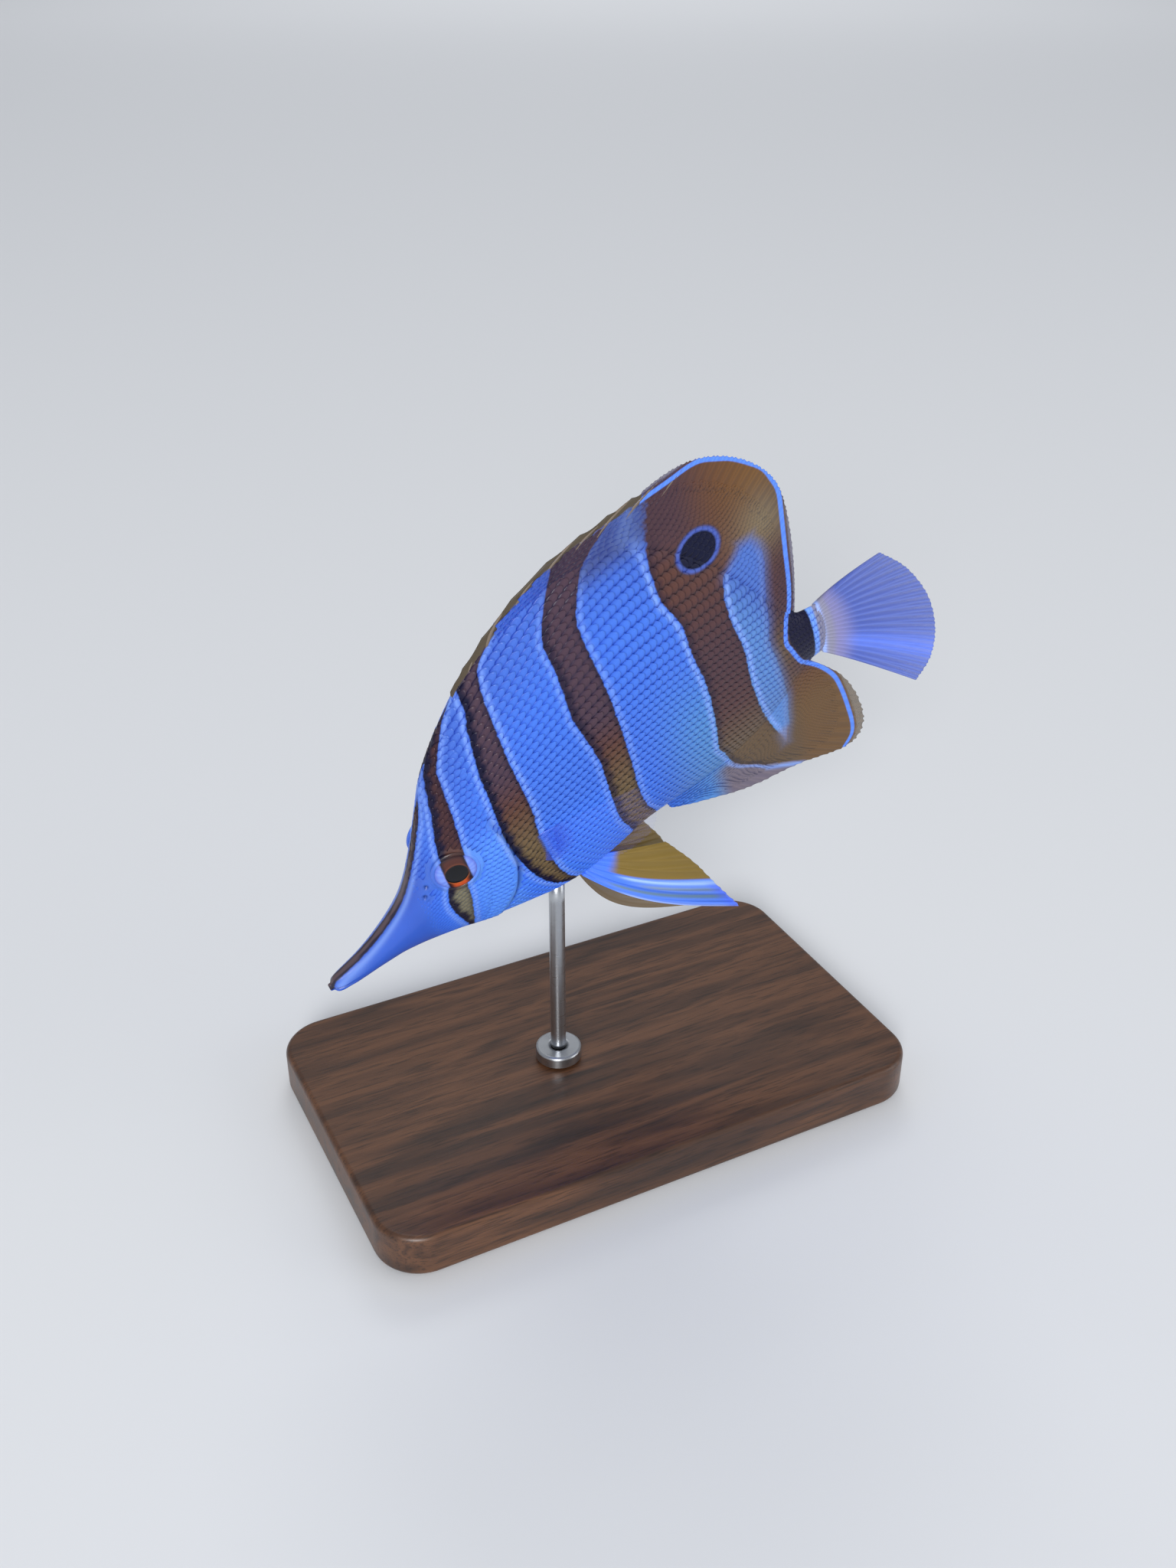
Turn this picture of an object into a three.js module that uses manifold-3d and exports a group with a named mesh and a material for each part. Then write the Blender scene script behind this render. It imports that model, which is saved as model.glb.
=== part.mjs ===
// Copperband butterflyfish (Chelmon rostratus), life size, on a plain display stand.
// Millimetres, +Z up. The fish heads along -X, nose down and banked to its left, which is -Y.
// The origin is the centre of the underside of the stand's base.
//
// The fish is drawn in its own coordinates, in percent of its total length:
// u runs back from the tip of the snout, v up towards the back, w out to the fish's left.
import * as THREE from 'three';
import { mergeVertices } from 'three/addons/utils/BufferGeometryUtils.js';
import Module from 'manifold-3d';

const wasm = await Module();
wasm.setup();

// Driving dimensions
const TOTAL_LENGTH = 130;
const PERCENT = TOTAL_LENGTH / 100;
const NOSE_DOWN = THREE.MathUtils.degToRad(21);
const BANK_LEFT = THREE.MathUtils.degToRad(12.2);
const PARTING = 0.3;
const FIN_EDGE = 0.5;

// The trunk without fins, each value at its place along the fish, in percent
const BACK_LINE = [
  [0, -7.7], [0.7, -7.05], [2, -6.7], [5, -5.7], [8, -4.3], [11, -2.4], [13.5, -0.2], [15.5, 2.6], [17.5, 6.2],
  [20, 11.4], [23, 17.6], [26, 21.8], [29, 25.3], [32, 28.2], [37, 31.6], [43, 34.4], [49, 35.9],
  [55, 35.7], [61, 32.8], [66, 28.0], [71, 21.2], [75, 14.0], [78, 8.4], [80, 6.2], [83.4, 5.8],
];
const BELLY_LINE = [
  [0, -9.3], [0.7, -9.9], [3, -10.1], [7, -9.8], [10, -9.8], [13, -10.3], [16, -11.2], [20, -12.5], [25, -14.0],
  [30, -15.3], [34, -16.2], [38, -16.4], [43, -15.7], [50, -14.4], [57, -14.2], [64, -13.6],
  [70, -11.8], [75, -8.6], [78, -5.6], [80, -3.9], [83.4, -3.5],
];
const HALF_WIDTH = [
  [0, 0.6], [0.7, 1.1], [2, 1.45], [5, 1.75], [10, 2.35], [14, 2.95], [18, 3.7], [22, 4.5], [27, 5.5],
  [32, 6.1], [38, 6.4], [45, 6.3], [52, 5.8], [60, 4.8], [68, 3.5], [75, 2.4], [80, 1.65],
  [82, 1.3], [83.4, 0.75],
];
const WIDEST_LINE = [
  [0, -8.5], [5, -7.8], [10, -6.0], [14, -4.2], [18, -1.5], [22, 1.0], [28, 3.5], [36, 5.5],
  [45, 6.0], [55, 5.5], [65, 4.0], [75, 2.0], [83.4, 1.2],
];
const BACK_KEEL = [[0, 0.5], [12, 0.52], [20, 0.62], [30, 0.75], [45, 0.8], [70, 0.85], [80, 0.6], [83.4, 0.5]];
const BELLY_KEEL = [[0, 0.5], [20, 0.55], [38, 0.58], [52, 0.75], [70, 0.85], [80, 0.6], [83.4, 0.5]];
const SNOUT_TIP = 0;
const TRUNK_END = 83.4;
const TRUNK_STATIONS = 50;
const STATIONS_CLOSER_AT_ENDS = 0.6;
const SIDE_STEPS = 12;
const SHORTEST_EDGE = 0.02;

// Where the trunk is parted
const MOUTH_CORNER = 3.2;
const MOUTH_HEIGHT = -8.5;
const SNOUT_ROOT = 13.5;
const MID_TRUNK = 47;
const TAIL_ROOT = 77.2;
const GILL_EDGE = [
  [26.6, 30], [27.2, 22], [27.0, 14], [27.6, 9], [28.6, 5], [28.9, 0.5], [28.1, -4.5], [26.2, -9],
  [24.3, -12.2], [23.2, -18],
];
const COVER_FRONT = [[22.9, -11.0], [23.1, -7], [24.3, -2], [25.1, 3.4], [25.6, 8.6]];
const COVER_TOP = 9.4;
const COVER_BOTTOM = -11.8;
const COVER_DEPTH = 1.6;

// Eye
const EYE_AT = [21.3, 3.4];
const EYE_RADIUS = 2.85;
const EYE_THICKNESS = 1.75;
const EYE_STANDS_OUT = 0.75;
const EYE_TURNED_FORWARD = THREE.MathUtils.degToRad(12);
const EYE_TURNED_UP = THREE.MathUtils.degToRad(5);
const LID_WIDTH = 0.42;

// Nostrils, two on each side in front of the eye
const NOSTRILS = [[16.3, 0.4], [17.0, 1.9]];
const NOSTRIL_RADIUS = 0.34;
const NOSTRIL_DEPTH = 0.7;

// Lips
const UPPER_LIP = [0.55, -8.05];
const LOWER_LIP = [0.75, -8.95];
const LIP_SIZE = [1.0, 1.12, 0.55];

// Spiny part of the back fin, folded low
const SPINE_ROOTS = [31.6, 33.2, 36.2, 39.9, 43.8, 47.6, 51.2, 55.0, 59.0];
const SPINE_TIPS = [
  [33.4, 30.2], [35.5, 32.0], [40.5, 35.6], [46.2, 38.0], [51.3, 39.5], [55.7, 39.9], [59.6, 40.6],
  [64.3, 41.0], [67.8, 40.9],
];
const SPINE_ROOT_RADIUS = 0.55;
const SPINE_TIP_RADIUS = 0.16;
const SPINE_SUNK = 1.5;
const SPINY_MARGIN = [
  [30.8, 27.4], [34.5, 30.7], [39.5, 34.0], [45, 36.7], [50.5, 38.2], [55, 38.8], [59, 39.3], [61.6, 39.5],
];
const SPINY_BASE_FROM = 30.4;
const SPINY_BASE_TO = 57.4;

// Soft part of the back fin
const SOFT_RAYS = 29;
const SOFT_BASE_FROM = 57.4;
const SOFT_BASE_TO = 78.6;
const SOFT_MARGIN = [
  [61.6, 39.5], [64.5, 40.0], [67.5, 40.0], [70.5, 39.2], [73.5, 37.5], [76.2, 35.1], [78.4, 32.2],
  [79.8, 29.0], [80.4, 25.0], [80.5, 20.0], [80.2, 14.5], [79.7, 10.2], [79.2, 7.0],
];

// Anal fin
const ANAL_RAYS = 20;
const ANAL_BASE_FROM = 53.0;
const ANAL_BASE_TO = 79.4;
const ANAL_MARGIN = [
  [54.0, -15.6], [57, -17.3], [61, -19.2], [65, -21.0], [69, -22.2], [73, -22.9], [77, -23.9],
  [81, -25.4], [84.2, -26.3], [86.8, -25.7], [88.1, -23.2], [88.0, -19.5], [87.0, -15.0],
  [85.2, -10.6], [82.8, -7.0], [80.9, -4.6],
];
const ANAL_SPINES = [[[54.5, -13.3], [57.9, -18.1]], [[56.8, -13.2], [62.0, -20.4]], [[59.4, -13.0], [66.9, -22.3]]];

// Tail fin, spread and swept to the fish's left: its root, and its margin from the upper corner down
const TAIL_RAYS = 17;
const TAIL_FIN_ROOT = [[83.8, 5.5, 0], [83.8, -3.2, 0]];
const TAIL_MARGIN = [
  [90.9, 12.8, 4.4], [94.4, 8.2, 5.3], [96.9, 1.9, 6.2], [97.5, -4.6, 6.6], [96.4, -10.0, 6.5], [93.9, -13.6, 6.0],
];
const TAIL_SWEEP_POWER = 1.35;

// Paired fins: the ends of the root, the tips from the leading ray back, and the bow of the leading ray
const PELVIC_LEFT = {
  root: [[37.6, -15.2, 1.9], [41.6, -14.4, 1.7]],
  tips: [[56.6, -33.0, 9.2], [54.3, -26.2, 8.4], [52.7, -21.4, 6.2], [50.4, -17.0, 3.6]],
  bow: [-2.1, -0.5, 0],
};
const PELVIC_RIGHT = {
  root: [[37.6, -15.2, -1.9], [41.6, -14.4, -1.7]],
  tips: [[52.4, -38.6, 0.6], [52.9, -32.5, -2.2], [52.6, -26.0, -3.6], [50.4, -19.0, -3.6]],
  bow: [-3.6, -1.7, 0],
};
const PELVIC_SPINE_HALF = 0.45;
const PELVIC_RAYS = 6;
const PECTORAL_RAYS = 14;
const PECTORAL_ROOT = [[30.9, 2.6, 0], [31.9, -2.6, 0]];
const PECTORAL_TIPS = [[46.6, 4.2, 9.2], [48.0, 0.2, 10.2], [46.8, -4.6, 9.8], [42.6, -7.6, 8.3], [38.4, -7.4, 7.2]];

// Stand
const BASE_LENGTH = 112;
const BASE_WIDTH = 66;
const BASE_HEIGHT = 9;
const BASE_CORNER = 9;
const BASE_BEVEL = 1.2;
const ROD_RADIUS = 1.5;
const ROD_X = -8;
const ROD_TOP = 50;
const ROD_MEETS = [34.0, -16.2, 0];
const COLLAR_RADIUS = 4.5;
const COLLAR_HEIGHT = 3;

// Smooth curve through points of rising first value, with no overshoot between them
function through(points) {
  const x = points.map((p) => p[0]);
  const y = points.map((p) => p[1]);
  const slope = x.slice(1).map((value, i) => (y[i + 1] - y[i]) / (value - x[i]));
  const tangent = x.map((_, i) => {
    if (i === 0) return slope[0];
    if (i === x.length - 1) return slope[i - 1];
    const [before, after] = [slope[i - 1], slope[i]];
    return before * after <= 0 ? 0 : (2 * before * after) / (before + after);
  });
  return (value) => {
    const at = Math.min(Math.max(value, x[0]), x[x.length - 1]);
    let i = 0;
    while (i < x.length - 2 && at > x[i + 1]) i += 1;
    const step = x[i + 1] - x[i];
    const t = (at - x[i]) / step;
    const rise = y[i + 1] - y[i];
    const bend = (3 - 2 * t) * t * t * rise;
    const lead = t * (1 - t) * (1 - t) * step * tangent[i];
    const trail = t * t * (1 - t) * step * tangent[i + 1];
    return y[i] + bend + lead - trail;
  };
}

const backAt = through(BACK_LINE);
const bellyAt = through(BELLY_LINE);
const widthAt = through(HALF_WIDTH);
const widestAt = through(WIDEST_LINE);
const backKeelAt = through(BACK_KEEL);
const bellyKeelAt = through(BELLY_KEEL);

// A point of the fish, from percent of its length to millimetres
function point(u, v, w = 0) {
  return new THREE.Vector3(u * PERCENT, -w * PERCENT, v * PERCENT);
}

// Half width of the trunk at a place on its side, in percent
function halfWidthAt(u, v) {
  const middle = widestAt(u);
  const above = v > middle;
  const reach = above ? backAt(u) - middle : middle - bellyAt(u);
  const share = Math.min(Math.abs(v - middle) / reach, 1);
  return widthAt(u) * Math.pow(1 - share * share, above ? backKeelAt(u) : bellyKeelAt(u));
}

function geometryFrom(vertices, triangles) {
  const geometry = new THREE.BufferGeometry();
  geometry.setAttribute('position', new THREE.Float32BufferAttribute(vertices.flatMap((p) => p.toArray()), 3));
  geometry.setIndex(triangles.flat());
  return geometry;
}

// A closed skin over a row of rings, with a point at the middle of each end ring
function overRings(rings) {
  const around = rings[0].length;
  const vertices = rings.flat();
  const triangles = [];
  for (let i = 0; i < rings.length - 1; i += 1) {
    for (let k = 0; k < around; k += 1) {
      const a = i * around + k;
      const b = i * around + (k + 1) % around;
      triangles.push([a, b, a + around], [b, b + around, a + around]);
    }
  }
  [0, rings.length - 1].forEach((end) => {
    const middle = rings[end].reduce((sum, p) => sum.add(p), new THREE.Vector3()).divideScalar(around);
    const centre = vertices.push(middle) - 1;
    for (let k = 0; k < around; k += 1) {
      const a = end * around + k;
      const b = end * around + (k + 1) % around;
      triangles.push(end === 0 ? [b, a, centre] : [a, b, centre]);
    }
  });
  return geometryFrom(vertices, triangles);
}

// The trunk, or the same trunk grown on every side by a gap in millimetres
function trunkGeometry(grown = 0) {
  const extra = grown / PERCENT;
  const rings = [];
  for (let i = 0; i <= TRUNK_STATIONS; i += 1) {
    const share = i / TRUNK_STATIONS;
    const closer = (STATIONS_CLOSER_AT_ENDS * Math.sin(2 * Math.PI * share)) / (2 * Math.PI);
    const u = SNOUT_TIP + (TRUNK_END - SNOUT_TIP) * (share - closer);
    const middle = widestAt(u);
    const up = backAt(u) - middle + extra;
    const down = middle - bellyAt(u) + extra;
    const across = widthAt(u) + extra;
    const along = i === 0 ? u - extra : i === TRUNK_STATIONS ? u + extra : u;
    const ring = [];
    for (let k = 0; k < 2 * SIDE_STEPS; k += 1) {
      const angle = (Math.PI * k) / SIDE_STEPS;
      const height = Math.cos(angle);
      const keel = height > 0 ? backKeelAt(u) : bellyKeelAt(u);
      const width = Math.sign(Math.sin(angle)) * Math.pow(Math.abs(Math.sin(angle)), 2 * keel);
      ring.push(point(along, middle + height * (height > 0 ? up : down), across * width));
    }
    rings.push(ring);
  }
  return overRings(rings);
}

// A thin sheet: a grid of places with a half thickness at each, alike on both faces
function sheetGeometry(columns, rows, place, half) {
  const across = (s, t) => {
    const step = 1e-3;
    const alongS = place(Math.min(s + step, 1), t).sub(place(Math.max(s - step, 0), t));
    const alongT = place(s, Math.min(t + step, 1)).sub(place(s, Math.max(t - step, 0)));
    return alongS.cross(alongT).normalize();
  };
  const vertices = [];
  for (const side of [1, -1]) {
    for (let i = 0; i <= columns; i += 1) {
      for (let j = 0; j <= rows; j += 1) {
        const [s, t] = [i / columns, j / rows];
        vertices.push(place(s, t).addScaledVector(across(s, t), side * half(i, t)));
      }
    }
  }
  const at = (side, i, j) => side * (columns + 1) * (rows + 1) + i * (rows + 1) + j;
  const triangles = [];
  for (let i = 0; i < columns; i += 1) {
    for (let j = 0; j < rows; j += 1) {
      for (const side of [0, 1]) {
        const quad = [at(side, i, j), at(side, i + 1, j), at(side, i + 1, j + 1), at(side, i, j + 1)];
        const [a, b, c, d] = quad;
        triangles.push(side === 0 ? [a, b, c] : [a, c, b], side === 0 ? [a, c, d] : [a, d, c]);
      }
    }
  }
  const rim = [];
  for (let i = 0; i < columns; i += 1) rim.push([i, 0]);
  for (let j = 0; j < rows; j += 1) rim.push([columns, j]);
  for (let i = columns; i > 0; i -= 1) rim.push([i, rows]);
  for (let j = rows; j > 0; j -= 1) rim.push([0, j]);
  rim.forEach(([i, j], k) => {
    const [next, below] = rim[(k + 1) % rim.length];
    const [a, b] = [at(0, i, j), at(0, next, below)];
    const [c, d] = [at(1, i, j), at(1, next, below)];
    triangles.push([a, c, b], [b, c, d]);
  });
  return geometryFrom(vertices, triangles);
}

// A tapered round bar from one point to another
function taperedBar(from, to, startRadius, endRadius, sides = 6) {
  const length = from.distanceTo(to);
  const geometry = new THREE.CylinderGeometry(endRadius, startRadius, length, sides, 1);
  const turn = new THREE.Quaternion().setFromUnitVectors(
    new THREE.Vector3(0, 1, 0),
    to.clone().sub(from).normalize(),
  );
  geometry.applyQuaternion(turn);
  const middle = from.clone().add(to).divideScalar(2);
  return geometry.translate(middle.x, middle.y, middle.z);
}

// Closed meshes to solids and back
function solid(geometry) {
  const bare = new THREE.BufferGeometry();
  bare.setAttribute('position', geometry.getAttribute('position'));
  bare.setIndex(geometry.getIndex());
  const merged = mergeVertices(bare, 1e-5);
  return new wasm.Manifold(new wasm.Mesh({
    numProp: 3,
    vertProperties: new Float32Array(merged.getAttribute('position').array),
    triVerts: new Uint32Array(merged.getIndex().array),
  }));
}

function largest(shape) {
  return shape.decompose().reduce((best, piece) => (piece.volume() > best.volume() ? piece : best));
}

function joined(shapes) {
  return shapes.reduce((sum, shape) => sum.add(shape));
}

function named(name, shape, material) {
  const { vertProperties, triVerts } = largest(shape).simplify(SHORTEST_EDGE).getMesh();
  const geometry = new THREE.BufferGeometry();
  geometry.setAttribute('position', new THREE.BufferAttribute(new Float32Array(vertProperties), 3));
  geometry.setIndex(new THREE.BufferAttribute(new Uint32Array(triVerts), 1));
  geometry.computeVertexNormals();
  const mesh = new THREE.Mesh(geometry, material);
  mesh.name = name;
  return mesh;
}

// Materials
function finish(color, roughness, metalness = 0) {
  return new THREE.MeshStandardMaterial({ color, roughness, metalness });
}
const PALE_SKIN = () => finish(0x9db6e6, 0.35);
const COPPER_SKIN = () => finish(0x8a5a33, 0.4);
const FIN_SKIN = () => finish(0xb98a4a, 0.45);
const CLEAR_FIN = () => finish(0xa9b8dd, 0.4);
const PELVIC_SKIN = () => finish(0xc9a23c, 0.45);
const EYE_BLACK = () => finish(0x101216, 0.1);
const BASE_WOOD = () => finish(0x4a3427, 0.5);
const ROD_STEEL = () => finish(0xb9bcc0, 0.3, 1);

// Slabs that part the trunk, drawn in the side view and reaching through it
const THROUGH = 30;
function sideSlab(outline, from = -THROUGH, to = THROUGH) {
  const shape = new THREE.Shape(outline.map(([u, v]) => new THREE.Vector2(u * PERCENT, v * PERCENT)));
  const depth = (to - from) * PERCENT;
  const geometry = new THREE.ExtrudeGeometry(shape, { depth, bevelEnabled: false });
  geometry.rotateX(Math.PI / 2);
  return solid(geometry.translate(0, -from * PERCENT, 0));
}

function between(uFrom, uTo, vFrom = -60, vTo = 60) {
  return sideSlab([[uFrom, vFrom], [uTo, vFrom], [uTo, vTo], [uFrom, vTo]]);
}

const HALF_PARTING = PARTING / PERCENT / 2;
const shifted = (points, along) => points.map(([u, v]) => [u + along, v]);

// Eyes, their sockets and lids
function eyePlace(side) {
  const [u, v] = EYE_AT;
  const outward = new THREE.Vector3(
    -Math.sin(EYE_TURNED_FORWARD),
    -side * Math.cos(EYE_TURNED_FORWARD) * Math.cos(EYE_TURNED_UP),
    Math.sin(EYE_TURNED_UP),
  ).normalize();
  const surface = point(u, v, side * halfWidthAt(u, v));
  const centre = surface.clone().addScaledVector(outward, (EYE_STANDS_OUT - EYE_THICKNESS) * PERCENT);
  return { outward, surface, centre };
}

function lens(side, extra = 0) {
  const { outward, centre } = eyePlace(side);
  const across = EYE_RADIUS * PERCENT + extra;
  const thick = EYE_THICKNESS * PERCENT + extra;
  const geometry = new THREE.SphereGeometry(1, 16, 10);
  geometry.scale(across, thick, across);
  const turn = new THREE.Quaternion().setFromUnitVectors(new THREE.Vector3(0, 1, 0), outward);
  geometry.applyQuaternion(turn);
  return solid(geometry.translate(centre.x, centre.y, centre.z));
}

function lid(side) {
  const { outward, surface } = eyePlace(side);
  const radius = (EYE_RADIUS + 0.1) * PERCENT;
  const geometry = new THREE.TorusGeometry(radius, LID_WIDTH * PERCENT, 6, 20);
  const turn = new THREE.Quaternion().setFromUnitVectors(new THREE.Vector3(0, 0, 1), outward);
  geometry.applyQuaternion(turn);
  const sunk = surface.clone().addScaledVector(outward, -0.1 * PERCENT);
  return solid(geometry.translate(sunk.x, sunk.y, sunk.z));
}

function nostril(side, [u, v]) {
  const surface = point(u, v, side * halfWidthAt(u, v));
  const outward = new THREE.Vector3(-0.3, -side, 0.15).normalize();
  const inner = surface.clone().addScaledVector(outward, -NOSTRIL_DEPTH * PERCENT);
  const outer = surface.clone().addScaledVector(outward, NOSTRIL_DEPTH * PERCENT);
  return solid(taperedBar(inner, outer, NOSTRIL_RADIUS * PERCENT * 0.6, NOSTRIL_RADIUS * PERCENT * 1.4, 8));
}

function lip([u, v]) {
  const geometry = new THREE.SphereGeometry(1, 14, 10);
  geometry.scale(LIP_SIZE[0] * PERCENT, LIP_SIZE[1] * PERCENT, LIP_SIZE[2] * PERCENT);
  const centre = point(u, v);
  return solid(geometry.translate(centre.x, centre.y, centre.z));
}

// Head, snout, jaw and gill covers
const trunk = solid(trunkGeometry());
const trunkWithGap = solid(trunkGeometry(PARTING));
const gillFront = shifted(GILL_EDGE, -HALF_PARTING);
const gillBack = shifted(GILL_EDGE, HALF_PARTING);

// An outline moved outwards by a distance, each corner along the middle of its two edges' normals
function outlineGrown(outline, extra) {
  const points = outline.map(([u, v]) => new THREE.Vector2(u, v));
  const outwards = THREE.ShapeUtils.isClockWise(points) ? 1 : -1;
  return points.map((p, i) => {
    const before = p.clone().sub(points.at(i - 1)).normalize();
    const after = points[(i + 1) % points.length].clone().sub(p).normalize();
    const along = before.clone().add(after).normalize();
    const reach = (outwards * extra) / Math.max(along.dot(before), 0.5);
    return [p.x - along.y * reach, p.y + along.x * reach];
  });
}

const COVER_OUTLINE = [
  ...COVER_FRONT,
  [26.0, COVER_TOP],
  [27.4, COVER_TOP],
  ...GILL_EDGE.filter(([, v]) => v < COVER_TOP && v > COVER_BOTTOM),
  [24.5, COVER_BOTTOM],
  [23.3, COVER_BOTTOM],
];

function coverSlab(side, extra) {
  const inner = COVER_DEPTH - extra;
  const slabs = side > 0 ? [inner, THROUGH] : [-THROUGH, -inner];
  return sideSlab(outlineGrown(COVER_OUTLINE, extra), ...slabs);
}

function headParts() {
  const front = sideSlab([[-5, -60], [GILL_EDGE.at(-1)[0], -60], ...gillFront.toReversed(), [26, 60], [-5, 60]]);
  const face = trunk.intersect(front);
  const lips = { upper: lip(UPPER_LIP), lower: lip(LOWER_LIP) };
  const behindMouth = between(-8, MOUTH_CORNER + HALF_PARTING, -60, MOUTH_HEIGHT + HALF_PARTING);
  const jawSlab = between(-8, MOUTH_CORNER - HALF_PARTING, -60, MOUTH_HEIGHT - HALF_PARTING);
  const snout = face.add(lips.upper).intersect(between(-8, SNOUT_ROOT - HALF_PARTING)).subtract(behindMouth);
  const jaw = face.add(lips.lower).intersect(jawSlab);
  let head = face.intersect(between(SNOUT_ROOT + HALF_PARTING, 60));
  const covers = {};
  for (const side of [1, -1]) {
    covers[side] = face.intersect(coverSlab(side, 0));
    head = head.subtract(coverSlab(side, 2 * HALF_PARTING));
    head = head.add(lid(side)).subtract(lens(side, PARTING));
    NOSTRILS.forEach((place) => {
      head = head.subtract(nostril(side, place));
    });
  }
  return [
    named('snout', snout, PALE_SKIN()),
    named('jaw_lower', jaw, PALE_SKIN()),
    named('head', head, PALE_SKIN()),
    named('gill_cover_left', covers[1], PALE_SKIN()),
    named('gill_cover_right', covers[-1], PALE_SKIN()),
    named('eye_left', lens(1), EYE_BLACK()),
    named('eye_right', lens(-1), EYE_BLACK()),
  ];
}

function bodyParts() {
  const behindGills = sideSlab([...gillBack, [GILL_EDGE.at(-1)[0], -60], [100, -60], [100, 60], [26, 60]]);
  const rest = trunk.intersect(behindGills);
  return [
    named('torso_front', rest.intersect(between(20, MID_TRUNK - HALF_PARTING)), PALE_SKIN()),
    named('torso_rear', rest.intersect(between(MID_TRUNK + HALF_PARTING, TAIL_ROOT - HALF_PARTING)), PALE_SKIN()),
    named('tail_base', rest.intersect(between(TAIL_ROOT + HALF_PARTING, 99)), COPPER_SKIN()),
  ];
}

// Fins
const onCurve = (points) => {
  const curve = new THREE.SplineCurve(points.map(([u, v]) => new THREE.Vector2(u, v)));
  return (s) => {
    const p = curve.getPoint(s);
    return [p.x, p.y];
  };
};
const inSpace = (points) => {
  const curve = new THREE.CatmullRomCurve3(points.map((p) => point(...p)));
  return (s) => curve.getPoint(s);
};

// Half thickness of a fin: thick at its root, thin at its margin, raised along each ray
function rayed(rootHalf, ridge) {
  return (i, t) => {
    const body = THREE.MathUtils.lerp(rootHalf, FIN_EDGE / 2, Math.pow(t, 0.7));
    return body + (i % 2 === 1 ? ridge * (1 - 0.6 * t) : 0);
  };
}

// A fin in the fish's middle plane, between a line sunk in the trunk and its margin
function medianFin(rays, rows, edgeAt, from, to, sunk, margin, rootHalf, ridge) {
  const marginAt = onCurve(margin);
  const place = (s, t) => {
    const u = THREE.MathUtils.lerp(from, to, s);
    const [endU, endV] = marginAt(s);
    const rootV = edgeAt(u) + sunk;
    return point(THREE.MathUtils.lerp(u, endU, t), THREE.MathUtils.lerp(rootV, endV, t));
  };
  return solid(sheetGeometry(2 * rays, rows, place, rayed(rootHalf, ridge)));
}

function spine(root, tip, startRadius = SPINE_ROOT_RADIUS) {
  return solid(taperedBar(point(...root), point(...tip), startRadius, SPINE_TIP_RADIUS));
}

function dorsalSpines() {
  const count = SPINE_ROOTS.length;
  const web = medianFin(count, 3, backAt, SPINY_BASE_FROM, SPINY_BASE_TO, -1.6, SPINY_MARGIN, 0.75, 0);
  const spines = SPINE_ROOTS.map((u, i) => spine([u, backAt(u) - SPINE_SUNK], SPINE_TIPS[i]));
  return joined([web, ...spines]);
}

// A fin of rays from a straight root to tips in space; sweep is the power by which rays leave the middle plane
function rayFin(columns, rows, { root, tips, bow = [0, 0, 0] }, half, sweep = 1) {
  const tipAt = inSpace(tips);
  const [front, rear] = root.map((p) => point(...p));
  const bowed = point(...bow);
  const place = (s, t) => {
    const from = front.clone().lerp(rear, s);
    const tip = tipAt(s);
    const p = from.clone().lerp(tip, t);
    p.y = THREE.MathUtils.lerp(from.y, tip.y, Math.pow(t, sweep));
    return p.addScaledVector(bowed, (1 - s) * Math.sin(Math.PI * t));
  };
  return solid(sheetGeometry(columns, rows, place, half));
}

function tailFin() {
  const shape = { root: TAIL_FIN_ROOT, tips: TAIL_MARGIN };
  return rayFin(2 * TAIL_RAYS, 7, shape, rayed(0.75, 0.2), TAIL_SWEEP_POWER);
}

function pectoral(side) {
  const root = PECTORAL_ROOT.map(([u, v]) => [u, v, side * (halfWidthAt(u, v) - 0.5)]);
  const tips = PECTORAL_TIPS.map(([u, v, w]) => [u, v, side * w]);
  return rayFin(2 * PECTORAL_RAYS, 5, { root, tips }, rayed(0.55, 0.12));
}

// A pelvic fin, with its spine as the thick leading edge
function pelvic(shape) {
  const web = rayed(0.7, 0.2);
  const half = (i, t) => web(i, t) + (i < 2 ? PELVIC_SPINE_HALF * (1 - 0.75 * t) : 0);
  return rayFin(2 * PELVIC_RAYS + 1, 8, shape, half);
}

function finParts() {
  const clear = (shape) => shape.subtract(trunkWithGap);
  const soft = medianFin(
    SOFT_RAYS, 7, backAt, SOFT_BASE_FROM + 2 * HALF_PARTING, SOFT_BASE_TO, -1.6, SOFT_MARGIN, 0.95, 0.16,
  );
  const analWeb = medianFin(
    ANAL_RAYS, 7, bellyAt, ANAL_BASE_FROM, ANAL_BASE_TO, 1.6, ANAL_MARGIN, 0.95, 0.18,
  );
  const anal = joined([analWeb, ...ANAL_SPINES.map(([root, tip]) => spine(root, tip, 0.75))]);
  const tail = tailFin();
  const spiny = dorsalSpines().subtract(softSpace());
  return [
    named('dorsal_spines', clear(spiny), COPPER_SKIN()),
    named('dorsal_soft', clear(soft), FIN_SKIN()),
    named('anal_fin', clear(anal), FIN_SKIN()),
    named('tail_fin', clear(tail), CLEAR_FIN()),
    named('pelvic_left', clear(pelvic(PELVIC_LEFT)), PELVIC_SKIN()),
    named('pelvic_right', clear(pelvic(PELVIC_RIGHT)), PELVIC_SKIN()),
    named('pectoral_left', clear(pectoral(1)), CLEAR_FIN()),
    named('pectoral_right', clear(pectoral(-1)), CLEAR_FIN()),
  ];
}

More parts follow.
